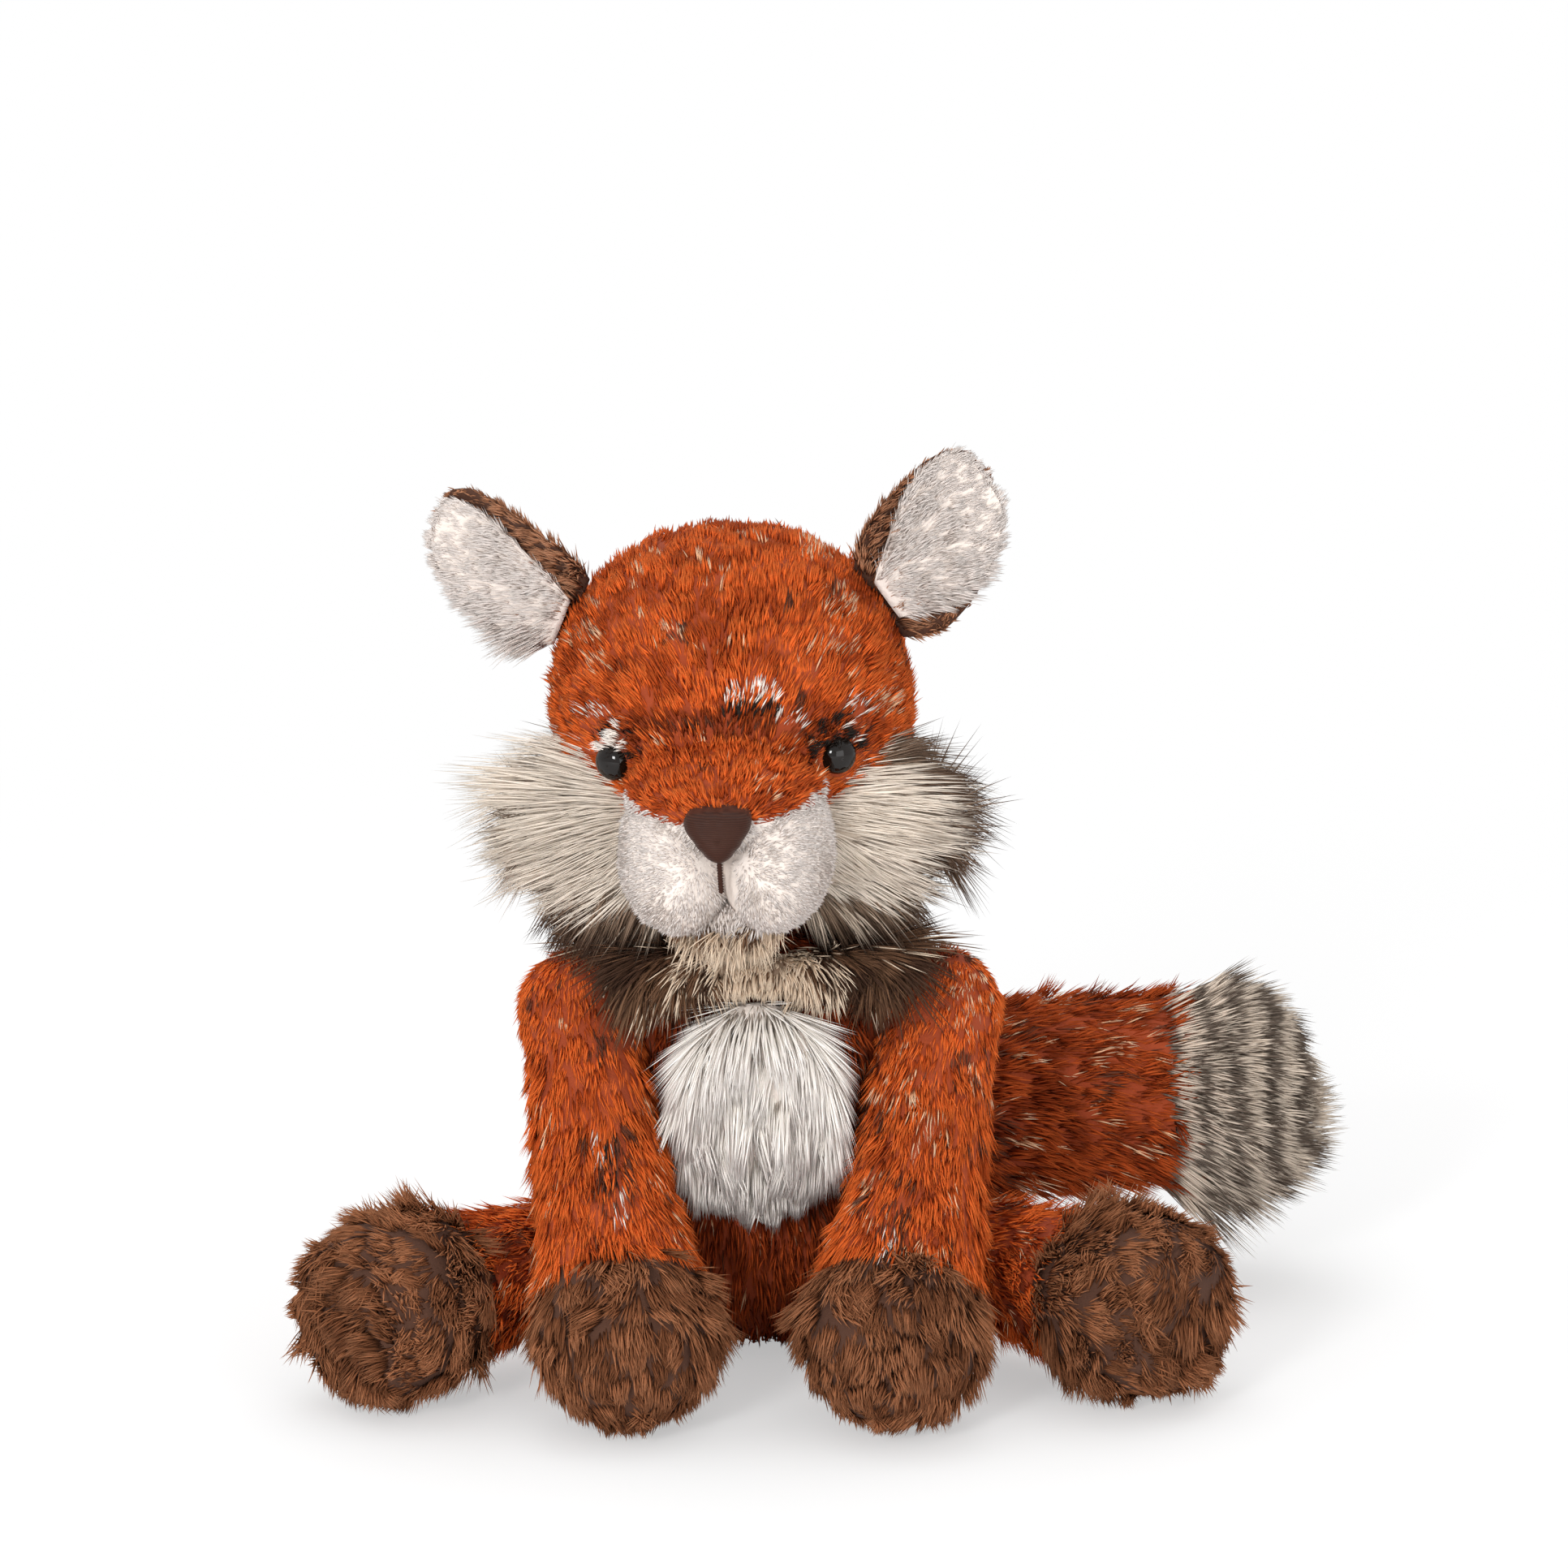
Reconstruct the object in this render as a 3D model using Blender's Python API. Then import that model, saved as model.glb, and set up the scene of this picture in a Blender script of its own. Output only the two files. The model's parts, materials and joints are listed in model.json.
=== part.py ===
"""A sitting plush fox, in metres, +Z up.

The fox looks along -Y. Its own left is at +X, and its tail lies to that side.
The origin lies in the flat seat, on the surface that the toy stands on.
Each stuffed piece is a row of rings along a line, a skin of plush cloth over its stuffing.
"""
import math

import bmesh
import bpy
import numpy as np
from mathutils import Matrix, Vector

# Clearances and cloth
GAP = 0.0003
PLUSH_THICKNESS = 0.005
CUT_OVERRUN = 0.002

# Ring counts
BODY_SIDES = 16
LIMB_SIDES = 10
TRIM_SIDES = 12
MUZZLE_SIDES = 16
BALL_SIDES = 14
BALL_RINGS = 7

# Torso
TORSO_HEIGHT = 0.141
TORSO_HALF_WIDTH = 0.054
TORSO_HALF_DEPTH = 0.047
SEAT_SETBACK = 0.015
WAIST_SETBACK = 0.001
CHEST_SETBACK = -0.005
# height, width and depth shares
TORSO_SHARES = (
    (0.0, 0.70, 0.52),
    (0.06, 0.87, 0.78),
    (0.17, 0.98, 0.97),
    (0.33, 1.0, 1.0),
    (0.50, 0.95, 0.92),
    (0.67, 0.89, 0.82),
    (0.82, 0.86, 0.76),
    (0.93, 0.79, 0.70),
    (1.0, 0.66, 0.60),
)

# Pouch of pellets that weighs the seat down
POUCH_HEIGHT = 0.0145
POUCH_HALF_WIDTH = 0.0185
POUCH_HALF_DEPTH = 0.0185
POUCH_SHARES = ((0.0, 0.88, 0.88), (0.3, 1.0, 1.0), (0.75, 0.82, 0.84))
POUCH_SETBACK = 0.013

# Bib of long pile on the chest
BIB_HALF_WIDTH = 0.0285
BIB_OFFSET = -0.0008
BIB_HALF_HEIGHT = 0.0375
BIB_DEPTH = 0.025
BIB_BACK = 0.031
BIB_DROP = 0.0525
BIB_HEIGHT = TORSO_HEIGHT - BIB_DROP
BIB_SHARES = ((0.0, 0.86, 0.90), (0.35, 1.0, 1.0), (0.62, 0.90, 0.92), (0.86, 0.55, 0.62))

# Collar of long grey pile round the front of the neck seam
COLLAR_SPREAD = 0.0445
COLLAR_END_SETBACK = -0.013
COLLAR_REACH = 0.063
COLLAR_END_DROP = 0.0065
COLLAR_FRONT_DROP = 0.0105
COLLAR_HALF_DEPTH = 0.009
COLLAR_HALF_HEIGHT = 0.0055
COLLAR_SHARES = (
    (0.04, 0.50, 0.50),
    (0.14, 0.83, 0.76),
    (0.28, 0.95, 0.92),
    (0.50, 1.0, 1.0),
    (0.72, 0.95, 0.92),
    (0.86, 0.83, 0.76),
    (0.96, 0.50, 0.50),
)

# Neck and head, whose own frame has its origin at the neck's middle
NECK_RADIUS = 0.020
NECK_RISE = 0.004
NECK_HEIGHT = TORSO_HEIGHT + NECK_RISE
NECK_OFFSET = -0.0055
NECK_SETBACK = -0.004
HEAD_LEAN = math.radians(-2.5)
HEAD_TURN = math.radians(-3.0)
HEAD_BASE = 0.004
HEAD_HEIGHT = 0.1155
HEAD_HALF_WIDTH = 0.0555
HEAD_HALF_DEPTH = 0.052
HEAD_SETBACK = -0.008
# height, width, depth and setback shares
HEAD_SHARES = (
    (0.0, 0.50, 0.48, 0.0),
    (0.07, 0.66, 0.65, 0.4),
    (0.20, 0.85, 0.85, 0.8),
    (0.37, 0.96, 0.96, 1.0),
    (0.53, 1.0, 1.0, 1.0),
    (0.69, 0.95, 0.95, 1.0),
    (0.83, 0.80, 0.80, 1.0),
    (0.935, 0.54, 0.55, 1.0),
    (0.98, 0.30, 0.30, 1.0),
)

# Cheek ruffs
RUFF_INNER = 0.010
RUFF_LENGTH = 0.067
RUFF_HALF_DEPTH = 0.026
RUFF_HALF_HEIGHT = 0.031
RUFF_FRONT = -0.028
RUFF_SWEEP = 0.008
RUFF_HEIGHT = 0.030
RUFF_SHARES = ((0.0, 0.84, 0.80), (0.28, 1.0, 1.0), (0.58, 0.96, 0.95), (0.80, 0.72, 0.72), (0.94, 0.38, 0.38))

# Muzzle
BRIDGE_START = 0.040
BRIDGE_LENGTH = 0.053
BRIDGE_HALF_WIDTH = 0.031
BRIDGE_HALF_HEIGHT = 0.0165
BRIDGE_HEIGHT = 0.0505
BRIDGE_DROP = 0.008
BRIDGE_SHARES = ((0.0, 0.97, 0.9), (0.35, 1.0, 1.0), (0.62, 0.88, 0.86), (0.83, 0.62, 0.62), (0.95, 0.34, 0.34))
PAD_START = 0.040
PAD_LENGTH = 0.055
PAD_HALF_WIDTH = 0.0185
PAD_HALF_HEIGHT = 0.0265
PAD_SPREAD = 0.0155
PAD_HEIGHT = 0.0315
PAD_DROP = 0.006
PAD_SHARES = ((0.0, 0.92, 0.85), (0.35, 1.0, 1.0), (0.62, 0.92, 0.90), (0.83, 0.70, 0.68), (0.95, 0.38, 0.38))
CHIN_START = 0.040
CHIN_LENGTH = 0.040
CHIN_HALF_WIDTH = 0.018
CHIN_HALF_HEIGHT = 0.0105
CHIN_HEIGHT = 0.0135
CHIN_SHARES = ((0.0, 0.9, 0.9), (0.45, 1.0, 1.0), (0.75, 0.78, 0.78), (0.93, 0.42, 0.42))

# Nose: a rounded triangle with its point down
NOSE_HALF_WIDTH = 0.0112
NOSE_HEIGHT = 0.0175
NOSE_TOP = 0.0515
NOSE_START = 0.084
NOSE_LENGTH = 0.0165
NOSE_MIDDLE_SHARE = 0.5
NOSE_OUTLINE_SHARES = (
    (0.0, 0.0), (0.5, 0.0), (0.86, -0.04), (1.0, -0.17), (0.93, -0.34), (0.72, -0.55),
    (0.48, -0.77), (0.22, -0.95), (0.0, -1.0),
)
NOSE_DOME_SHARES = ((0.0, 0.96), (0.62, 1.0), (0.85, 0.86), (0.96, 0.52))
STITCH_RADIUS = 0.0009
STITCH_LENGTH = 0.010
STITCH_FRONT = 0.0925
STITCH_RUNBACK = 0.004
STITCH_SIDES = 8

# Safety eyes with a locking washer
EYE_SPREAD = 0.0345
EYE_HEIGHT = 0.0560
EYE_RADIUS = 0.0058
EYE_DOME = 0.0042
EYE_SEAT_DEPTH = 0.0013
EYE_SHANK_RADIUS = 0.0016
EYE_SHANK_LENGTH = 0.0150
EYE_OUTWARD = math.radians(24.0)
EYE_DROOP = math.radians(4.0)
WASHER_RADIUS = 0.0062
WASHER_THICKNESS = 0.0016
WASHER_SEAT = 0.0086
EYE_SIDES = 12

# Ears
EAR_LENGTH = 0.057
EAR_HALF_WIDTH = 0.0235
EAR_BACK_THICKNESS = 0.0032
EAR_LINING_THICKNESS = 0.0026
EAR_CUP = 0.0085
EAR_ROLL_RADIUS = 0.0042
EAR_ROLL_HALF = 0.0150
EAR_HEIGHT = 0.0930
EAR_SETBACK = -0.006
EAR_SINK = 0.0012
EAR_RISE_LEFT = math.radians(31.0)
EAR_RISE_RIGHT = math.radians(23.0)
EAR_SKEW = 0.019
EAR_FACE_LEFT = math.radians(12.0)
EAR_FACE_RIGHT = math.radians(24.0)
EAR_SIDES = 12
EAR_FOOT_SHARE = 0.85
EAR_EDGE_POWER = 0.75
EAR_FACE_POWER = 0.6
# length, half width, thickness and cup shares
EAR_SHARES = (
    (0.0, 0.62, 1.0, 0.16),
    (0.10, 0.82, 1.0, 0.62),
    (0.27, 0.97, 1.0, 1.0),
    (0.48, 1.0, 1.0, 0.95),
    (0.68, 0.93, 0.95, 0.72),
    (0.84, 0.74, 0.85, 0.42),
    (0.95, 0.44, 0.66, 0.15),
)
EAR_LINING_END_SHARE = 0.965
EAR_LINING_SHARES = (
    (0.115, 0.62, 0.8, 0.66),
    (0.27, 0.84, 1.0, 1.0),
    (0.48, 0.92, 1.0, 0.95),
    (0.68, 0.88, 1.0, 0.72),
    (0.84, 0.70, 0.85, 0.42),
    (0.93, 0.42, 0.7, 0.19),
)

# Arms, from the shoulder to the paw
SHOULDER_SPREAD = 0.0555
SHOULDER_SETBACK = -0.012
SHOULDER_DROP = 0.031
SHOULDER_HEIGHT = TORSO_HEIGHT - SHOULDER_DROP
SHOULDER_RADIUS = 0.0225
ELBOW_BOW = 0.004
PAW_SPREAD = 0.0385
PAW_FRONT = -0.095
PAW_HALF_WIDTH = 0.032
PAW_HALF_HEIGHT = 0.0295
PAW_HEIGHT = 0.029
# shares of the length to the paw's end, of the shoulder's radius
ARM_SHARES = ((0.0, 1.0, 1.0), (0.10, 0.95, 0.95), (0.28, 0.98, 0.94), (0.46, 1.05, 0.97), (0.64, 1.21, 1.11))
# the paw's shares of its own half widths
PAW_SHARES = ((0.71, 0.95, 0.95), (0.79, 1.0, 1.0), (0.88, 0.87, 0.87), (0.95, 0.62, 0.62), (0.985, 0.34, 0.34))

# Legs, from the hip to the sole
HIP_SPREAD = 0.045
HIP_SETBACK = -0.006
HIP_HEIGHT = 0.034
HIP_RADIUS = 0.022
LEG_LENGTH = 0.112
LEG_SPLAY_LEFT = math.radians(50.0)
LEG_SPLAY_RIGHT = math.radians(47.0)
FOOT_RADIUS = 0.0318
FOOT_HEIGHT = 0.0313
LEG_SHARES = ((0.0, 1.0, 1.0), (0.10, 0.93, 0.93), (0.28, 0.95, 0.97), (0.44, 1.03, 1.04), (0.575, 1.12, 1.14))
FOOT_SHARES = ((0.68, 0.92, 0.94), (0.80, 1.0, 1.0), (0.91, 0.97, 0.98), (1.0, 0.86, 0.87))
SOLE_THICKNESS = 0.0065
SOLE_SHARES = ((0.0, 0.83), (0.45, 0.74), (0.82, 0.48))

# Tail
TAIL_ROOT_SPREAD = 0.022
TAIL_ROOT_SETBACK = 0.040
TAIL_ROOT_HEIGHT = 0.060
TAIL_ROOT_RADIUS = 0.019
TAIL_REACH = 0.164
TAIL_SWAY = 0.030
TAIL_BEND_SHARE = 0.33
TAIL_END_SETBACK = 0.020
TAIL_RISE = 0.004
TAIL_HALF_WIDTH = 0.030
TAIL_SHARES = ((0.12, 0.70, 0.72), (0.25, 0.90, 0.93), (0.45, 1.0, 1.05), (0.73, 0.97, 1.05))
BRUSH_SHARES = ((0.80, 1.03, 1.11), (0.89, 1.0, 1.08), (0.955, 0.76, 0.84), (0.987, 0.42, 0.46))

# How far limbs swing from rest
ARM_SWING = math.radians(45.0)
LEG_SWING = math.radians(25.0)
TAIL_SWING = math.radians(40.0)
SWING_STEPS = 3
SWING_CLEARANCE = 0.0012

# Ball joints where limbs press into the body
BALL_SHARES = ((-0.93, 0.3676), (-0.74, 0.6726), (-0.42, 0.9075))


def clear_scene():
    """Remove every object."""
    for item in list(bpy.data.objects):
        bpy.data.objects.remove(item)


def cloth(name, colour, roughness):
    """A material with one colour and one roughness."""
    material = bpy.data.materials.new(name)
    material.use_nodes = True
    shader = material.node_tree.nodes["Principled BSDF"]
    shader.inputs["Base Color"].default_value = (*colour, 1.0)
    shader.inputs["Roughness"].default_value = roughness
    shader.inputs["Metallic"].default_value = 0.0
    material.diffuse_color = (*colour, 1.0)
    return material


def rust_plush():
    """Rust-orange pile of the body."""
    return cloth("rust plush", (0.47, 0.084, 0.013), 0.95)


def white_plush():
    """White pile of the bib and muzzle."""
    return cloth("white plush", (0.80, 0.75, 0.70), 0.95)


def grey_plush():
    """Long cream-grey pile of the ruffs and tail brush."""
    return cloth("grey plush", (0.52, 0.46, 0.39), 0.95)


def brown_plush():
    """Brown pile of the paws, feet and ear backs."""
    return cloth("brown plush", (0.145, 0.061, 0.030), 0.95)


def nose_satin():
    """Dark brown satin of the nose and lip."""
    return cloth("nose satin", (0.042, 0.016, 0.012), 0.5)


def eye_gloss():
    """Black moulded plastic of the eyes."""
    return cloth("eye gloss", (0.006, 0.005, 0.005), 0.08)


def washer_plastic():
    """Pale moulded plastic of the locking washers."""
    return cloth("washer plastic", (0.72, 0.72, 0.70), 0.45)


def stuffing_fibre():
    """White polyester filling."""
    return cloth("stuffing fibre", (0.85, 0.85, 0.83), 1.0)


def pouch_cloth():
    """Plain cloth of the pellet pouch."""
    return cloth("pouch cloth", (0.60, 0.56, 0.48), 0.9)


class Line:
    """A bent line through start, toward a control point, to an end."""

    def __init__(self, start, end, control=None):
        self.start = Vector(start)
        self.end = Vector(end)
        self.control = Vector(control) if control else (self.start + self.end) / 2
        self.length = (self.end - self.start).length

    def point(self, distance):
        """Point at a distance from the start; before the start the line runs straight."""
        share = distance / self.length
        if share <= 0:
            return self.start + (self.control - self.start).normalized() * distance
        back = 1 - share
        return self.start * back * back + self.control * 2 * back * share + self.end * share * share

    def heading(self, distance):
        """Unit direction of the line at a distance."""
        share = max(distance / self.length, 0)
        run = (self.control - self.start) * (1 - share) + (self.end - self.control) * share
        return run.normalized()


class Form:
    """Rings along a line: each station is a distance and two half widths."""

    def __init__(self, line, stations, tip=None, root=None, side=(1, 0, 0), level=None, sides=LIMB_SIDES,
                 open_start=False, open_end=False, shifts=None, span=None):
        self.line = line
        self.stations = stations
        self.tip = tip
        self.root = root
        self.side = Vector(side)
        self.level = Vector(level) if level else None
        self.sides = sides
        self.open_start = open_start
        self.open_end = open_end
        self.shifts = shifts
        self.span = span or (
            stations[0][0] if root is None else root,
            stations[-1][0] if tip is None else tip,
            open_start,
            open_end,
        )

    def slide(self, distance, inset):
        """Distance of a station once both closed ends are drawn in."""
        low, high, open_low, open_high = self.span
        new_low = low if open_low else low + inset
        new_high = high if open_high else high - inset
        return new_low + (distance - low) * (new_high - new_low) / (high - low)

    def centre(self, distance, index=None):
        """Middle of a ring, with its own sideways shift where it has one."""
        point = self.line.point(distance)
        if self.shifts and index is not None:
            point = point + self.shifts[index]
        return point

    def ring(self, index, inset):
        """Points round one ring."""
        distance, half_across, half_up = self.stations[index]
        place = self.slide(distance, inset)
        heading = self.level or self.line.heading(place)
        across = (self.side - heading * self.side.dot(heading)).normalized()
        up = heading.cross(across)
        middle = self.centre(place, index)
        points = []
        for step in range(self.sides):
            angle = math.tau * (step + 0.5) / self.sides
            points.append(
                middle
                + across * math.cos(angle) * (half_across - inset)
                + up * math.sin(angle) * (half_up - inset)
            )
        return points

    def rings(self, inset=0.0):
        """All rings, drawn in by an inset."""
        return [self.ring(index, inset) for index in range(len(self.stations))]

    def pole(self, distance, index, inset):
        """The point that closes an end."""
        return self.centre(self.slide(distance, inset), index)

    def piece(self, first, last):
        """The same form between two stations, open where it is cut."""
        whole = first == 0
        ends = last == len(self.stations) - 1
        return Form(
            self.line,
            self.stations[first : last + 1],
            tip=self.tip if ends else None,
            root=self.root if whole else None,
            side=self.side,
            level=self.level,
            sides=self.sides,
            open_start=self.open_start if whole else True,
            open_end=self.open_end if ends else True,
            shifts=self.shifts[first : last + 1] if self.shifts else None,
            span=self.span,
        )


def lay_rings(mesh, rings, root=None, tip=None):
    """Join rings into a tube, and close each end that has a pole."""
    rows = [[mesh.verts.new(point) for point in ring] for ring in rings]
    count = len(rows[0])
    for low, high in zip(rows, rows[1:]):
        for step in range(count):
            after = (step + 1) % count
            mesh.faces.new((low[step], low[after], high[after], high[step]))
    for row, point in ((rows[0], root), (rows[-1], tip)):
        if point is not None:
            middle = mesh.verts.new(point)
            for step in range(count):
                mesh.faces.new((row[step], row[(step + 1) % count], middle))
    return rows[0], rows[-1]


def finish_mesh(name, mesh, material, parent=None):
    """Turn a closed mesh into a named object on its parent."""
    bmesh.ops.recalc_face_normals(mesh, faces=mesh.faces)
    if mesh.calc_volume(signed=True) < 0:
        bmesh.ops.reverse_faces(mesh, faces=mesh.faces)
    data = bpy.data.meshes.new(name)
    mesh.to_mesh(data)
    mesh.free()
    data.shade_smooth()
    item = bpy.data.objects.new(name, data)
    bpy.context.collection.objects.link(item)
    if material:
        data.materials.append(material)
    if parent:
        item.parent = parent
    return item


def closed_form(name, form, material, parent=None, inset=0.0):
    """A solid of a form; an open end is closed flat."""
    mesh = bmesh.new()
    root = None if form.root is None else form.pole(form.root, 0, inset)
    tip = None if form.tip is None else form.pole(form.tip, len(form.stations) - 1, inset)
    first, last = lay_rings(mesh, form.rings(inset), root, tip)
    if root is None:
        mesh.faces.new(first)
    if tip is None:
        mesh.faces.new(last)
    return finish_mesh(name, mesh, material, parent)


def skin_form(name, form, thickness, material, parent=None):
    """A skin of even thickness over a form, with a hole at each open end."""
    mesh = bmesh.new()
    last_index = len(form.stations) - 1
    rows = []
    for inset in (0.0, thickness):
        root = None if form.root is None else form.pole(form.root, 0, inset)
        tip = None if form.tip is None else form.pole(form.tip, last_index, inset)
        first, last = lay_rings(mesh, form.rings(inset), root, tip)
        if root is None and not form.open_start:
            mesh.faces.new(first)
        if tip is None and not form.open_end:
            mesh.faces.new(last)
        rows.append((first, last))
    for end, is_open in ((0, form.open_start), (1, form.open_end)):
        if is_open:
            outer, inner = rows[0][end], rows[1][end]
            for step in range(len(outer)):
                after = (step + 1) % len(outer)
                mesh.faces.new((outer[step], outer[after], inner[after], inner[step]))
    return finish_mesh(name, mesh, material, parent)


def as_cutter(item):
    """Mark an object as a guide that isn't part of the toy."""
    item.hide_render = True
    item.display_type = "WIRE"
    return item


def form_cutter(name, form, parent=None, clearance=GAP):
    """A cutter a clearance larger than a form."""
    return as_cutter(closed_form(name, form, None, parent, inset=-clearance))


def cut(item, *cutters, solver="EXACT"):
    """Cut each cutter out of an object."""
    for cutter in cutters:
        change = item.modifiers.new(cutter.name, "BOOLEAN")
        change.operation = "DIFFERENCE"
        change.solver = solver
        change.object = cutter


def ball_cutter(name, centre, radius, parent=None):
    """A faceted ball whose flats lie a clearance outside a radius."""
    flat_share = math.cos(math.pi / BALL_SIDES) * math.cos(math.pi / (2 * BALL_RINGS))
    mesh = bmesh.new()
    bmesh.ops.create_uvsphere(
        mesh, u_segments=BALL_SIDES, v_segments=BALL_RINGS, radius=(radius + GAP) / flat_share,
        matrix=Matrix.Translation(centre),
    )
    return as_cutter(finish_mesh(name, mesh, None, parent))


def box_cutter(name, low, high, parent=None):
    """A box between two corners."""
    mesh = bmesh.new()
    low, high = Vector(low), Vector(high)
    size = high - low
    bmesh.ops.create_cube(
        mesh, size=1.0, matrix=Matrix.Translation((low + high) / 2) @ Matrix.Diagonal((*size, 1.0))
    )
    return as_cutter(finish_mesh(name, mesh, None, parent))


def rod(name, line_points, radius, sides, material, parent=None):
    """A straight rod between two points."""
    start, end = Vector(line_points[0]), Vector(line_points[1])
    run = end - start
    mesh = bmesh.new()
    turn = Vector((0, 0, 1)).rotation_difference(run.normalized()).to_matrix().to_4x4()
    bmesh.ops.create_cone(
        mesh, cap_ends=True, segments=sides, radius1=radius, radius2=radius, depth=run.length,
        matrix=Matrix.Translation((start + end) / 2) @ turn,
    )
    return finish_mesh(name, mesh, material, parent)


def pivot(name, place, turn=None, parent=None):
    """An empty on a joint's axis."""
    item = bpy.data.objects.new(name, None)
    item.empty_display_size = PLUSH_THICKNESS
    bpy.context.collection.objects.link(item)
    item.location = place
    if turn:
        item.rotation_euler = turn.to_euler()
    if parent:
        item.parent = parent
    return item


def scaled_stations(shares, length, half_across, half_up):
    """Stations from shares of three sizes."""
    return [(row[0] * length, row[1] * half_across, row[2] * half_up) for row in shares]


def ball_stations(radius):
    """Stations of the ball end of a limb, behind its pivot."""
    return [(row[0] * radius, row[1] * radius, row[1] * radius) for row in BALL_SHARES]


# The torso


def torso_form():
    """Body from the seat to the neck."""
    line = Line(
        (0, SEAT_SETBACK, 0), (0, CHEST_SETBACK, TORSO_HEIGHT), (0, WAIST_SETBACK, TORSO_HEIGHT / 2)
    )
    return Form(
        line,
        scaled_stations(TORSO_SHARES, TORSO_HEIGHT, TORSO_HALF_WIDTH, TORSO_HALF_DEPTH),
        level=(0, 0, 1),
        sides=BODY_SIDES,
        open_end=True,
    )


def pouch_form(clearance):
    """Flat-bottomed pouch on the inner face of the seat."""
    floor = PLUSH_THICKNESS + GAP
    line = Line((0, POUCH_SETBACK, floor - clearance), (0, POUCH_SETBACK, floor + POUCH_HEIGHT + clearance))
    stations = scaled_stations(
        POUCH_SHARES,
        line.length,
        POUCH_HALF_WIDTH + clearance,
        POUCH_HALF_DEPTH + clearance,
    )
    return Form(line, stations, tip=line.length, level=(0, 0, 1), sides=TRIM_SIDES)


def bib_form():
    """Pad of long pile on the chest."""
    back = -BIB_BACK + CHEST_SETBACK
    line = Line((BIB_OFFSET, back, BIB_HEIGHT), (BIB_OFFSET, back - BIB_DEPTH, BIB_HEIGHT))
    return Form(
        line,
        scaled_stations(BIB_SHARES, BIB_DEPTH, BIB_HALF_WIDTH, BIB_HALF_HEIGHT),
        tip=BIB_DEPTH,
        sides=TRIM_SIDES,
    )


def collar_form():
    """Crescent of long pile that bows round the front of the neck seam."""
    end_height = TORSO_HEIGHT - COLLAR_END_DROP
    line = Line(
        (-COLLAR_SPREAD, COLLAR_END_SETBACK, end_height),
        (COLLAR_SPREAD, COLLAR_END_SETBACK, end_height),
        (0, COLLAR_END_SETBACK - COLLAR_REACH, TORSO_HEIGHT - COLLAR_FRONT_DROP),
    )
    return Form(
        line,
        scaled_stations(COLLAR_SHARES, line.length, COLLAR_HALF_DEPTH, COLLAR_HALF_HEIGHT),
        root=0.0,
        tip=line.length,
        side=(0, 1, 0),
        sides=TRIM_SIDES,
    )


def build_torso(cups):
    """Skin, stuffing, pellet pouch, bib and collar."""
    form = torso_form()
    skin = skin_form("torso_skin", form, PLUSH_THICKNESS, rust_plush())
    filling = closed_form("torso_stuffing", form, stuffing_fibre(), inset=PLUSH_THICKNESS + GAP)
    closed_form("pellet_pouch", pouch_form(0.0), pouch_cloth())
    pocket = as_cutter(closed_form("pouch_pocket", pouch_form(GAP), None))
    cut(filling, pocket, *cups)
    cut(skin, *cups)
    bib = closed_form("chest_bib", bib_form(), white_plush())
    face = form_cutter("torso_face", form)
    cut(bib, face)
    collar = closed_form("chest_collar", collar_form(), grey_plush())
    cut(collar, face)
    return skin


def limb_guards(name, place, radius, axis, swing):
    """The torso as the limb meets it at four angles of its swing, hollowed for the limb's ball."""
    guards = []
    for step in range(SWING_STEPS + 1):
        turn = Matrix.Rotation(-swing * step / SWING_STEPS, 3, axis)
        holder = pivot(f"{name}_swing_{step}", place - turn @ place, turn)
        guard = form_cutter(f"{name}_guard_{step}", torso_form(), holder, clearance=SWING_CLEARANCE)
        cut(guard, ball_cutter(f"{name}_room_{step}", place, radius - GAP, holder))
        guards.append(guard)
    return guards


# The limbs


def limb_form(line, radius, shares, end_stations, tip, side, open_end=False):
    """A ball at the pivot, a tube, and an end."""
    stations = ball_stations(radius)
    stations += scaled_stations(shares, line.length, radius, radius)
    stations += end_stations
    return Form(line, stations, tip=tip, root=-radius, side=side, open_end=open_end)


def split_at_cuff(form, cuff, open_root=True):
    """The sleeve and the end piece, parted by a clearance at the cuff."""
    sleeve = form.piece(0, cuff)
    if open_root:
        sleeve.root = None
        sleeve.open_start = True
    end = form.piece(cuff, len(form.stations) - 1)
    place, half_across, half_up = end.stations[0]
    end.stations = [(place + GAP, half_across, half_up)] + list(end.stations[1:])
    return sleeve, end


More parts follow.
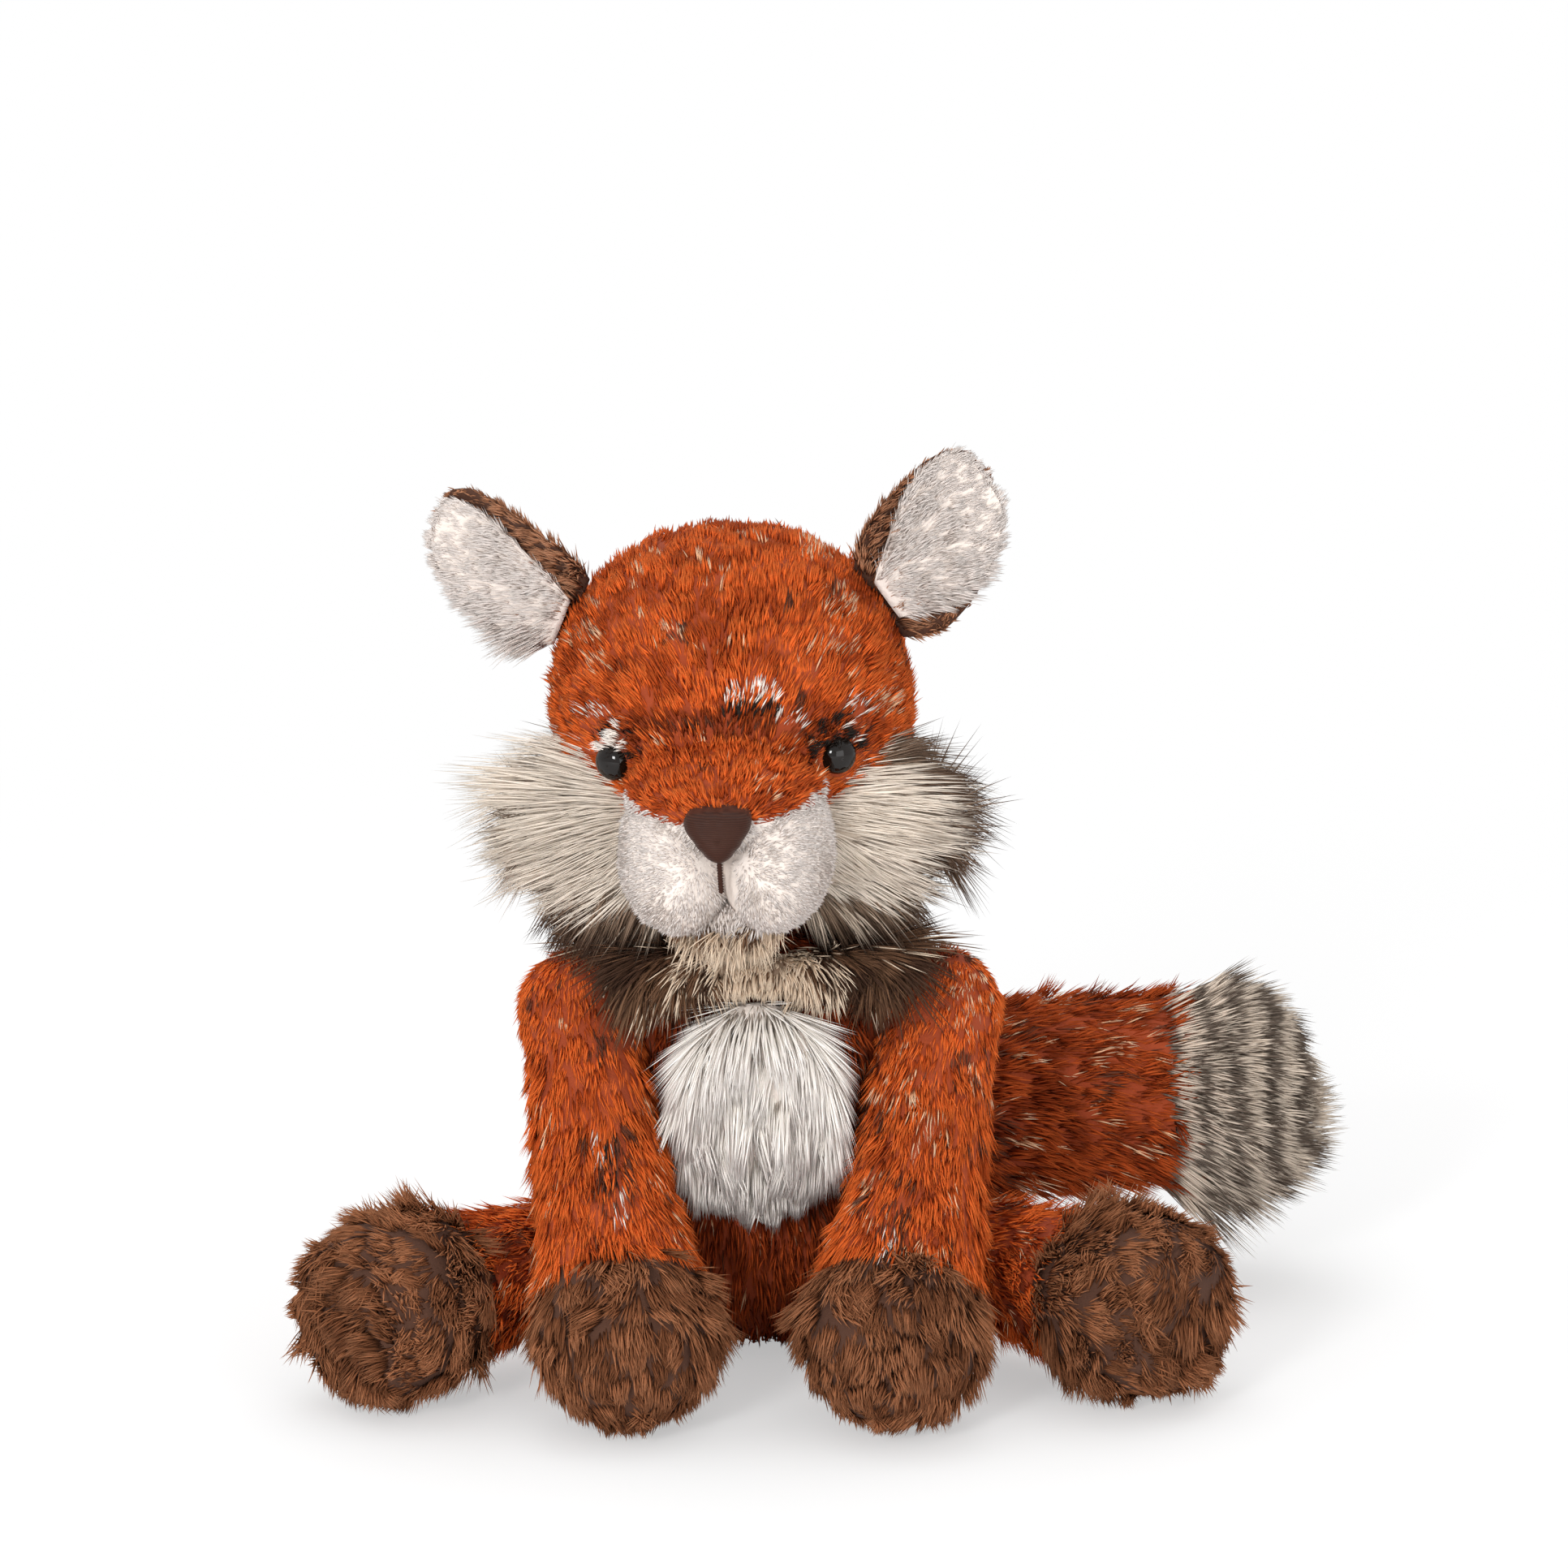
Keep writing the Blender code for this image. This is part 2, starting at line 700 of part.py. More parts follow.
def build_arm(side_name, sign, floor):
    """Arm sleeve, paw and stuffing on a shoulder pivot."""
    shoulder = Vector((sign * SHOULDER_SPREAD, SHOULDER_SETBACK, SHOULDER_HEIGHT))
    joint = pivot("shoulder_" + side_name, shoulder)
    run = Vector((sign * PAW_SPREAD, PAW_FRONT, PAW_HEIGHT)) - shoulder
    reach = run.length + PAW_HALF_HEIGHT
    tip = run.normalized() * reach
    line = Line((0, 0, 0), tip, tip / 2 + Vector((sign * ELBOW_BOW, 0, 0)))
    paw = scaled_stations(PAW_SHARES, reach, PAW_HALF_WIDTH, PAW_HALF_HEIGHT)
    form = limb_form(line, SHOULDER_RADIUS, ARM_SHARES, paw, reach, (1, 0, 0))
    cuff = len(BALL_SHARES) + len(ARM_SHARES) - 1
    sleeve, end = split_at_cuff(form, cuff, open_root=False)
    upper = skin_form("arm_sleeve_" + side_name, sleeve, PLUSH_THICKNESS, rust_plush(), joint)
    lower = skin_form("paw_" + side_name, end, PLUSH_THICKNESS, brown_plush(), joint)
    filling = closed_form(
        "arm_stuffing_" + side_name, form, stuffing_fibre(), joint, inset=PLUSH_THICKNESS + GAP
    )
    guards = limb_guards("shoulder_" + side_name, shoulder, SHOULDER_RADIUS, Vector((-1, 0, 0)), ARM_SWING)
    cut(upper, *guards)
    cut(filling, *guards)
    cut(lower, floor)
    return joint


def build_leg(side_name, sign, splay, floor):
    """Leg sleeve, foot, sole and stuffing on a hip pivot."""
    hip = Vector((sign * HIP_SPREAD, HIP_SETBACK, HIP_HEIGHT))
    joint = pivot("hip_" + side_name, hip)
    level_run = Vector((sign * math.sin(splay), -math.cos(splay), 0)) * LEG_LENGTH
    drop = Vector((0, 0, FOOT_HEIGHT - HIP_HEIGHT))
    line = Line((0, 0, 0), level_run + drop)
    foot = scaled_stations(FOOT_SHARES, line.length, FOOT_RADIUS, FOOT_RADIUS)
    across = (math.cos(splay), sign * math.sin(splay), 0)
    form = limb_form(line, HIP_RADIUS, LEG_SHARES, foot, None, across, open_end=True)
    cuff = len(BALL_SHARES) + len(LEG_SHARES) - 1
    sleeve, end = split_at_cuff(form, cuff)
    upper = skin_form("leg_sleeve_" + side_name, sleeve, PLUSH_THICKNESS, rust_plush(), joint)
    lower = skin_form("foot_" + side_name, end, PLUSH_THICKNESS, brown_plush(), joint)
    filling = closed_form(
        "leg_stuffing_" + side_name, form, stuffing_fibre(), joint, inset=PLUSH_THICKNESS + GAP
    )
    heading = line.heading(line.length)
    face = line.end + heading * GAP
    sole_line = Line(face, face + heading * SOLE_THICKNESS)
    sole_stations = [
        (row[0] * SOLE_THICKNESS, row[1] * FOOT_RADIUS, row[1] * FOOT_RADIUS) for row in SOLE_SHARES
    ]
    sole = Form(sole_line, sole_stations, tip=SOLE_THICKNESS, side=across)
    closed_form("sole_" + side_name, sole, brown_plush(), joint)
    guards = limb_guards("hip_" + side_name, hip, HIP_RADIUS, Vector((0, 0, sign)), LEG_SWING)
    cut(upper, *guards)
    cut(filling, *guards)
    cut(lower, floor)
    return joint


def build_tail():
    """Tail sleeve, brush and stuffing on a pivot at the back."""
    root = Vector((TAIL_ROOT_SPREAD, TAIL_ROOT_SETBACK, TAIL_ROOT_HEIGHT))
    joint = pivot("tail_root", root)
    line = Line(
        (0, 0, 0),
        (TAIL_REACH, TAIL_END_SETBACK, TAIL_RISE),
        (TAIL_REACH * TAIL_BEND_SHARE, TAIL_SWAY, 0),
    )
    length = line.length
    stations = ball_stations(TAIL_ROOT_RADIUS) + [(0.0, TAIL_ROOT_RADIUS, TAIL_ROOT_RADIUS)]
    stations += scaled_stations(TAIL_SHARES, length, TAIL_HALF_WIDTH, TAIL_HALF_WIDTH)
    cuff = len(stations) - 1
    stations += scaled_stations(BRUSH_SHARES, length, TAIL_HALF_WIDTH, TAIL_HALF_WIDTH)
    form = Form(line, stations, tip=length, root=-TAIL_ROOT_RADIUS, side=(0, 1, 0))
    sleeve, end = split_at_cuff(form, cuff)
    upper = skin_form("tail_sleeve", sleeve, PLUSH_THICKNESS, rust_plush(), joint)
    skin_form("tail_brush", end, PLUSH_THICKNESS, grey_plush(), joint)
    filling = closed_form("tail_stuffing", form, stuffing_fibre(), joint, inset=PLUSH_THICKNESS + GAP)
    guards = limb_guards("tail", root, TAIL_ROOT_RADIUS, Vector((0, 0, 1)), TAIL_SWING)
    cut(upper, *guards)
    cut(filling, *guards)
    return joint


# The head


def head_form():
    """Skull from the neck to the crown."""
    line = Line((0, 0, HEAD_BASE), (0, 0, HEAD_BASE + HEAD_HEIGHT))
    shifts = [Vector((0, row[3] * HEAD_SETBACK, 0)) for row in HEAD_SHARES]
    return Form(
        line,
        scaled_stations(HEAD_SHARES, HEAD_HEIGHT, HEAD_HALF_WIDTH, HEAD_HALF_DEPTH),
        tip=HEAD_HEIGHT,
        level=(0, 0, 1),
        sides=BODY_SIDES,
        open_start=True,
        shifts=shifts,
    )


def skull_front(x, height):
    """Depth of the front of the skull at a side offset and height."""
    place = (height - HEAD_BASE) / HEAD_HEIGHT
    rows = np.array(HEAD_SHARES)
    wide = np.interp(place, rows[:, 0], rows[:, 1]) * HEAD_HALF_WIDTH
    deep = np.interp(place, rows[:, 0], rows[:, 2]) * HEAD_HALF_DEPTH
    back = np.interp(place, rows[:, 0], rows[:, 3]) * HEAD_SETBACK
    return back - deep * math.sqrt(1 - (x / wide) ** 2)


def ruff_form(sign):
    """Cheek ruff, from beside the muzzle outward."""
    line = Line(
        (sign * RUFF_INNER, RUFF_FRONT, RUFF_HEIGHT),
        (sign * (RUFF_INNER + RUFF_LENGTH), RUFF_FRONT + RUFF_SWEEP, RUFF_HEIGHT),
    )
    stations = scaled_stations(RUFF_SHARES, line.length, RUFF_HALF_DEPTH, RUFF_HALF_HEIGHT)
    return Form(line, stations, tip=line.length, side=(0, 1, 0))


def bridge_form():
    """Rust top of the muzzle."""
    line = Line(
        (0, -BRIDGE_START, BRIDGE_HEIGHT),
        (0, -BRIDGE_START - BRIDGE_LENGTH, BRIDGE_HEIGHT - BRIDGE_DROP),
    )
    stations = scaled_stations(BRIDGE_SHARES, line.length, BRIDGE_HALF_WIDTH, BRIDGE_HALF_HEIGHT)
    return Form(line, stations, tip=line.length, sides=MUZZLE_SIDES)


def pad_form(sign):
    """White pad on one side of the lip line."""
    line = Line(
        (sign * PAD_SPREAD, -PAD_START, PAD_HEIGHT),
        (sign * PAD_SPREAD, -PAD_START - PAD_LENGTH, PAD_HEIGHT - PAD_DROP),
    )
    stations = scaled_stations(PAD_SHARES, line.length, PAD_HALF_WIDTH, PAD_HALF_HEIGHT)
    return Form(line, stations, tip=line.length, sides=MUZZLE_SIDES)


def chin_form():
    """Small pale chin under the pads."""
    line = Line((0, -CHIN_START, CHIN_HEIGHT), (0, -CHIN_START - CHIN_LENGTH, CHIN_HEIGHT))
    stations = scaled_stations(CHIN_SHARES, CHIN_LENGTH, CHIN_HALF_WIDTH, CHIN_HALF_HEIGHT)
    return Form(line, stations, tip=CHIN_LENGTH, sides=TRIM_SIDES)


def nose_mesh(clearance):
    """Domed rounded triangle, larger all round by a clearance."""
    right = [(x, z) for x, z in NOSE_OUTLINE_SHARES]
    left = [(-x, z) for x, z in reversed(right[1:-1])]
    middle = NOSE_TOP - NOSE_HEIGHT * NOSE_MIDDLE_SHARE
    rings = []
    for run, size in NOSE_DOME_SHARES:
        ring = []
        for x, z in right + left:
            across = x * NOSE_HALF_WIDTH * size
            rise = (z + NOSE_MIDDLE_SHARE) * NOSE_HEIGHT * size
            spread = math.hypot(across, rise)
            grow = (spread + clearance) / spread
            ring.append((across * grow, -NOSE_START - run * NOSE_LENGTH, middle + rise * grow))
        rings.append(ring)
    mesh = bmesh.new()
    tip = (0, -NOSE_START - NOSE_LENGTH - clearance, middle)
    first, _ = lay_rings(mesh, rings, tip=tip)
    mesh.faces.new(first)
    return mesh


def build_muzzle(joint, head_guard, ruff_guards):
    """Bridge, pads, chin, nose and lip stitch."""
    bridge = closed_form("muzzle_bridge", bridge_form(), rust_plush(), joint)
    cut(bridge, head_guard, *ruff_guards)
    bridge_guard = form_cutter("bridge_guard", bridge_form(), joint)
    pad_guards = []
    stitch_top = NOSE_TOP - NOSE_HEIGHT - GAP
    stitch_ends = (
        (0, -STITCH_FRONT, stitch_top),
        (0, -STITCH_FRONT + STITCH_RUNBACK, stitch_top - STITCH_LENGTH),
    )
    rod("lip_stitch", stitch_ends, STITCH_RADIUS, STITCH_SIDES, nose_satin(), joint)
    top = Vector(stitch_ends[0])
    foot = Vector(stitch_ends[1])
    run = (foot - top).normalized()
    stitch_guard = as_cutter(
        rod(
            "stitch_guard", (top - run * GAP, foot + run * GAP), STITCH_RADIUS + GAP, STITCH_SIDES, None,
            joint,
        )
    )
    nose = finish_mesh("nose", nose_mesh(0.0), nose_satin(), joint)
    nose_guard = as_cutter(finish_mesh("nose_guard", nose_mesh(GAP), None, joint))
    halves = {}
    depth = PAD_START + PAD_LENGTH + CUT_OVERRUN
    height = PAD_HEIGHT + PAD_HALF_HEIGHT + CUT_OVERRUN
    reach = PAD_SPREAD + PAD_HALF_WIDTH + CUT_OVERRUN
    for name, sign in (("left", 1), ("right", -1)):
        pad = closed_form("muzzle_pad_" + name, pad_form(sign), white_plush(), joint)
        low = (min(sign * GAP / 2, -sign * reach), -depth, -height)
        high = (max(sign * GAP / 2, -sign * reach), 0, height)
        halves[name] = box_cutter("pad_divider_" + name, low, high, joint)
        cut(pad, head_guard, *ruff_guards)
        cut(pad, bridge_guard, halves[name], stitch_guard, nose_guard, solver="MANIFOLD")
        pad_guards.append(form_cutter("pad_guard_" + name, pad_form(sign), joint))
    cut(bridge, nose_guard)
    chin = closed_form("chin", chin_form(), white_plush(), joint)
    cut(chin, head_guard, *ruff_guards, *pad_guards)
    return bridge, nose


def build_eye(side_name, sign, joint, skin, filling, neighbours):
    """Domed eye on a shank, with its washer behind the skin."""
    x = sign * EYE_SPREAD
    front = skull_front(x, EYE_HEIGHT)
    outward = Vector((sign * math.sin(EYE_OUTWARD), -math.cos(EYE_OUTWARD), -math.sin(EYE_DROOP))).normalized()
    seat = Vector((x, front, EYE_HEIGHT)) - outward * EYE_SEAT_DEPTH
    turn = Vector((0, 0, 1)).rotation_difference(outward).to_matrix().to_4x4()
    socket = pivot("eye_seat_" + side_name, seat, turn.to_3x3(), joint)
    steps = EYE_SIDES // 4
    dome = []
    for step in range(steps):
        angle = math.pi / 2 * step / steps
        dome.append((EYE_RADIUS * math.cos(angle), GAP + EYE_DOME * math.sin(angle)))
    mesh = bmesh.new()
    profile = [(EYE_SHANK_RADIUS, -EYE_SHANK_LENGTH), (EYE_SHANK_RADIUS, GAP)] + dome
    rings = []
    for radius, height in profile:
        ring = []
        for step in range(EYE_SIDES):
            angle = math.tau * step / EYE_SIDES
            ring.append((radius * math.cos(angle), radius * math.sin(angle), height))
        rings.append(ring)
    first, _ = lay_rings(mesh, rings, tip=(0, 0, GAP + EYE_DOME))
    mesh.faces.new(first)
    finish_mesh("eye_" + side_name, mesh, eye_gloss(), socket)
    top = EYE_SEAT_DEPTH + EYE_DOME + CUT_OVERRUN
    recess = as_cutter(rod(
        "eye_recess_" + side_name, ((0, 0, 0), (0, 0, top)), EYE_RADIUS + GAP, EYE_SIDES, None, socket
    ))
    bore = as_cutter(rod(
        "eye_bore_" + side_name, ((0, 0, -EYE_SHANK_LENGTH - CUT_OVERRUN), (0, 0, top)),
        EYE_SHANK_RADIUS + GAP, EYE_SIDES, None, socket,
    ))
    washer = rod(
        "eye_washer_" + side_name,
        ((0, 0, -WASHER_SEAT - WASHER_THICKNESS), (0, 0, -WASHER_SEAT)),
        WASHER_RADIUS, EYE_SIDES, washer_plastic(), socket,
    )
    cut(washer, bore)
    pocket = as_cutter(rod(
        "washer_pocket_" + side_name,
        ((0, 0, -EYE_SHANK_LENGTH - GAP), (0, 0, 0)),
        WASHER_RADIUS + GAP, EYE_SIDES, None, socket,
    ))
    shaft = as_cutter(rod(
        "washer_room_" + side_name,
        ((0, 0, -WASHER_SEAT - WASHER_THICKNESS - GAP), (0, 0, -WASHER_SEAT + GAP)),
        WASHER_RADIUS + GAP, EYE_SIDES, None, socket,
    ))
    cut(skin, recess, bore, shaft)
    cut(filling, pocket)
    for item in neighbours:
        cut(item, recess, solver="MANIFOLD")


def ear_section(shares, thickness, offset, skew):
    """Rings of one ear cloth, cupped toward the front and leaning along its foot."""
    rings = []
    for run, wide, thick, cup in shares:
        ring = []
        half = wide * EAR_HALF_WIDTH
        for step in range(EAR_SIDES):
            angle = math.tau * (step + 0.5) / EAR_SIDES
            u = math.cos(angle)
            w = math.sin(angle)
            across = half * math.copysign(abs(u) ** EAR_EDGE_POWER, u)
            depth = thickness / 2 * thick * math.copysign(abs(w) ** EAR_FACE_POWER, w)
            bend = -cup * EAR_CUP * (across / EAR_HALF_WIDTH) ** 2
            ring.append((across + skew * run, bend + offset + depth, run * EAR_LENGTH))
        rings.append(ring)
    return rings


def build_ear(side_name, sign, rise, face_down, joint, skin, filling):
    """Brown back and white lining on the roll at the ear's foot."""
    place = np.interp((EAR_HEIGHT - HEAD_BASE) / HEAD_HEIGHT, *np.array(HEAD_SHARES)[:, :2].T)
    foot_x = place * HEAD_HALF_WIDTH - EAR_SINK
    foot = Vector((sign * foot_x, EAR_SETBACK, EAR_HEIGHT))
    up = Vector((sign * math.cos(rise), 0, math.sin(rise)))
    face = Vector((0, -1, 0))
    face.rotate(Matrix.Rotation(sign * face_down, 3, up))
    across = (-face).cross(up)
    turn = Matrix((across, -face, up)).transposed()
    root = pivot("ear_root_" + side_name, foot, turn, joint)
    skew = -sign * EAR_SKEW
    rings = ear_section(EAR_SHARES, EAR_BACK_THICKNESS, 0.0, skew)
    foot_ring = []
    for across_x, depth, _ in rings[0]:
        foot_ring.append((across_x * EAR_ROLL_HALF / EAR_HALF_WIDTH, depth / 2, -EAR_ROLL_RADIUS * EAR_FOOT_SHARE))
    mesh = bmesh.new()
    tip = (skew, 0, EAR_LENGTH)
    first, _ = lay_rings(mesh, [foot_ring] + rings, tip=tip)
    mesh.faces.new(first)
    finish_mesh("ear_back_" + side_name, mesh, brown_plush(), root)
    offset = -(EAR_BACK_THICKNESS + EAR_LINING_THICKNESS) / 2 - GAP
    rings = ear_section(EAR_LINING_SHARES, EAR_LINING_THICKNESS, offset, skew)
    mesh = bmesh.new()
    tip = (skew * EAR_LINING_END_SHARE, offset, EAR_LENGTH * EAR_LINING_END_SHARE)
    first, _ = lay_rings(mesh, rings, tip=tip)
    mesh.faces.new(first)
    finish_mesh("ear_lining_" + side_name, mesh, white_plush(), root)
    groove = as_cutter(rod(
        "ear_groove_" + side_name,
        ((-EAR_ROLL_HALF - GAP, 0, 0), (EAR_ROLL_HALF + GAP, 0, 0)),
        (EAR_ROLL_RADIUS + GAP) / math.cos(math.pi / EYE_SIDES), EYE_SIDES, None, root,
    ))
    cut(skin, groove)
    cut(filling, groove)


def build_head(neck_place, neck_cup):
    """Everything that moves with the head."""
    turn = Matrix.Rotation(HEAD_TURN, 3, "Z") @ Matrix.Rotation(HEAD_LEAN, 3, "Y")
    joint = pivot("head_pivot", neck_place, turn)
    form = head_form()
    skin = skin_form("head_skin", form, PLUSH_THICKNESS, rust_plush(), joint)
    filling = closed_form("head_stuffing", form, stuffing_fibre(), joint, inset=PLUSH_THICKNESS + GAP)
    cut(skin, neck_cup)
    cut(filling, neck_cup)
    head_guard = form_cutter("head_guard", form, joint)
    ruffs = []
    ruff_guards = []
    for name, sign in (("left", 1), ("right", -1)):
        ruff = closed_form("cheek_ruff_" + name, ruff_form(sign), grey_plush(), joint)
        cut(ruff, head_guard)
        ruffs.append(ruff)
        ruff_guards.append(form_cutter("ruff_guard_" + name, ruff_form(sign), joint))
    bridge, nose = build_muzzle(joint, head_guard, ruff_guards)
    for index, (name, sign) in enumerate((("left", 1), ("right", -1))):
        build_eye(name, sign, joint, skin, filling, (bridge, ruffs[index]))
    build_ear("left", 1, EAR_RISE_LEFT, EAR_FACE_LEFT, joint, skin, filling)
    build_ear("right", -1, EAR_RISE_RIGHT, EAR_FACE_RIGHT, joint, skin, filling)
    return joint


def build_neck(place):
    """Stuffed ball of plush that the head turns and nods on."""
    joint = pivot("neck_pivot", place)
    lower = ball_stations(NECK_RADIUS)
    upper = [(-place, across, up) for place, across, up in reversed(lower)]
    line = Line((0, 0, 0), (0, 0, NECK_RADIUS))
    form = Form(
        line,
        lower + [(0.0, NECK_RADIUS, NECK_RADIUS)] + upper,
        level=(0, 0, 1),
        sides=BALL_SIDES,
        open_start=True,
        open_end=True,
    )
    skin_form("neck_skin", form, PLUSH_THICKNESS, rust_plush(), joint)
    closed_form("neck_stuffing", form, stuffing_fibre(), joint, inset=PLUSH_THICKNESS + GAP)
    return joint


def build_fox():
    """The whole toy."""
    clear_scene()
    neck_place = Vector((NECK_OFFSET, NECK_SETBACK, NECK_HEIGHT))
    neck_cup = ball_cutter("neck_cup", neck_place, NECK_RADIUS)
    cups = [neck_cup]
    for name, sign in (("left", 1), ("right", -1)):
        shoulder = (sign * SHOULDER_SPREAD, SHOULDER_SETBACK, SHOULDER_HEIGHT)
        hip = (sign * HIP_SPREAD, HIP_SETBACK, HIP_HEIGHT)
        cups.append(ball_cutter("shoulder_cup_" + name, shoulder, SHOULDER_RADIUS))
        cups.append(ball_cutter("hip_cup_" + name, hip, HIP_RADIUS))
    tail_place = (TAIL_ROOT_SPREAD, TAIL_ROOT_SETBACK, TAIL_ROOT_HEIGHT)
    cups.append(ball_cutter("tail_cup", tail_place, TAIL_ROOT_RADIUS))
    build_torso(cups)
    reach = LEG_LENGTH * 2
    floor = box_cutter("floor_plane", (-reach, -reach, -PAW_HEIGHT), (reach, reach, 0))
    build_neck(neck_place)
    build_head(neck_place, neck_cup)
    build_arm("left", 1, floor)
    build_arm("right", -1, floor)
    build_leg("left", 1, LEG_SPLAY_LEFT, floor)
    build_leg("right", -1, LEG_SPLAY_RIGHT, floor)
    build_tail()


build_fox()
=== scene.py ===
"""A sitting plush fox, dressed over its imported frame.

Every cloth piece is a surface of two parameters, worked out with numpy as whole arrays, and its pile
is a mesh of closed tapered strands rooted on that surface. Sizes are metres in the frame's own axes:
the fox looks along -Y, its own left is +X, and it sits on Z = 0.
"""

from __future__ import annotations

import json
import logging
import math
from collections.abc import Callable, Sequence
from dataclasses import dataclass, field, replace
from enum import Enum, IntEnum

import bpy
import numpy as np
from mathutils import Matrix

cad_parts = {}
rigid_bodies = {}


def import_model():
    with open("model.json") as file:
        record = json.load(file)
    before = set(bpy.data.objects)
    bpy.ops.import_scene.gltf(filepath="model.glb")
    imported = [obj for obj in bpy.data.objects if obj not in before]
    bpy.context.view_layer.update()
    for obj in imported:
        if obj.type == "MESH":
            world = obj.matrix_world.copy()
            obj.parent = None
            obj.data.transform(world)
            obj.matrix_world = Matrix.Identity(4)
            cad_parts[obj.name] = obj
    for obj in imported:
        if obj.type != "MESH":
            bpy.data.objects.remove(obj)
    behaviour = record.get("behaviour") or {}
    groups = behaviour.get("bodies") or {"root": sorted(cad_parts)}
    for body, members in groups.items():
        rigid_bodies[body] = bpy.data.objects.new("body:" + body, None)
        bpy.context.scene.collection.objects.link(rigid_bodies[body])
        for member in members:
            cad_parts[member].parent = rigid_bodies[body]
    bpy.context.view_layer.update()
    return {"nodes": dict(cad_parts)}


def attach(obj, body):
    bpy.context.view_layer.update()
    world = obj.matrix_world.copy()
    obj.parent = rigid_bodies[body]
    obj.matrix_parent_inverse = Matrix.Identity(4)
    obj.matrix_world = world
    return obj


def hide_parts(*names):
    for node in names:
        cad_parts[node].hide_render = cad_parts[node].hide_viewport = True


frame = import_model()
LOG = logging.getLogger("plush_fox")

Array = np.ndarray
Socket = bpy.types.NodeSocket
Colour = tuple[float, float, float]
Place = tuple[float, float, float]
Rows = tuple[tuple[float, ...], ...]
# Takes the roots of some strands with two random numbers each, and gives one number for each strand.
Chooser = Callable[[Array, Array], Array]

# A pile's map has one cell for each shade and mark, and this share of a cell's side is used.
SHADES = 16
MARKS = 16
CELL_SHARE = 0.72
# Tufts share the random values of a table, and this share of a coat's strands is grown.
TUFT_TABLE = 4096
THINNED = 0.79
PER_SQUARE_METRE = 1e6
# Depths and gaps in metres.
FLOOR_GAP = 0.0004
ROOT_DEPTH = 0.0006
FILLING_INSET = 0.0060
SLEEVE_INSET = 0.0036
CAMERA_TILT = math.radians(15.0)
UPWARD: Place = (0.0, 0.0, 1.0)
# Distance before the pivot and half width of a limb's round near end, as shares of its radius.
BALL_SHARES = ((-0.93, 0.3676), (-0.74, 0.6726), (-0.42, 0.9075))


class Side(Enum):
    """The toy's own left and right, with the sign of X on that side."""

    LEFT = 1
    RIGHT = -1

    @property
    def word(self) -> str:
        """Word used in the names of pieces."""
        return self.name.lower()

    def mirror(self, place: Place) -> Array:
        """A place of the toy's left, on this side."""
        return np.array(place) * [self.value, 1, 1]


class Kind(IntEnum):
    """Kinds of strand in the rust piles, in the order of their marks."""

    PLAIN = 0
    DEEP = 1
    CREAM = 2
    DARK = 3
    WHITE = 4
    BLACK = 5
    # Painted shade: dark rust strands in the crease over the muzzle and under the ruffs.
    CREASE = 6


def unit(vectors: Array) -> Array:
    """Vectors divided by their own lengths."""
    return vectors / np.maximum(np.linalg.norm(vectors, axis=-1, keepdims=True), 1e-12)


def dot(a: Array, b: Array) -> Array:
    """Row by row product of two lists of vectors, kept as a column."""
    return np.sum(a * b, axis=-1, keepdims=True)


def nearest(points: Array, *places: Array) -> Array:
    """Distance from each point to the nearest of some places."""
    return np.min([np.linalg.norm(points - place, axis=1) for place in places], axis=0)


def luck(chance: Array, own: float) -> Array:
    """Mix of a strand's own random number, by a share, and its tuft's."""
    return chance[:, 0] * own + chance[:, 1] * (1 - own)


def signed_volume(corners: Array) -> float:
    """Six times the volume inside some triangles: each one's triple product, summed."""
    return float(np.sum(np.cross(corners[:, 0], corners[:, 1]) * corners[:, 2]))


def wander(points: Array, scale: float, seed: int) -> Array:
    """Smooth patches over space, from 0 to 1.

    The value is the mean of eight sine waves with random headings, whose wavelengths lie about a
    scale, moved from -1..1 to 0..1 and stretched.

    Args:
        points: Places, one row each.
        scale: Usual size of a patch.
        seed: Picks the headings and phases.

    Returns:
        One number for each place.
    """
    rng = np.random.default_rng(seed)
    headings = unit(rng.normal(size=(8, 3))) * rng.uniform(0.6, 1.6, (8, 1))
    phases = rng.uniform(0, math.tau, 8)
    waves = np.sin(points @ headings.T * math.tau / (2 * scale) + phases)
    return np.clip(0.5 + waves.mean(axis=1) * 1.1, 0, 1)


def front_view(points: Array) -> Array:
    """Places as seen from the front: across, and upward on the tilted view.

    The upward value is Z times the cosine of the tilt plus Y times its sine.
    """
    up = points[:, 2] * math.cos(CAMERA_TILT) + points[:, 1] * math.sin(CAMERA_TILT)
    return np.stack([points[:, 0], up], axis=1)


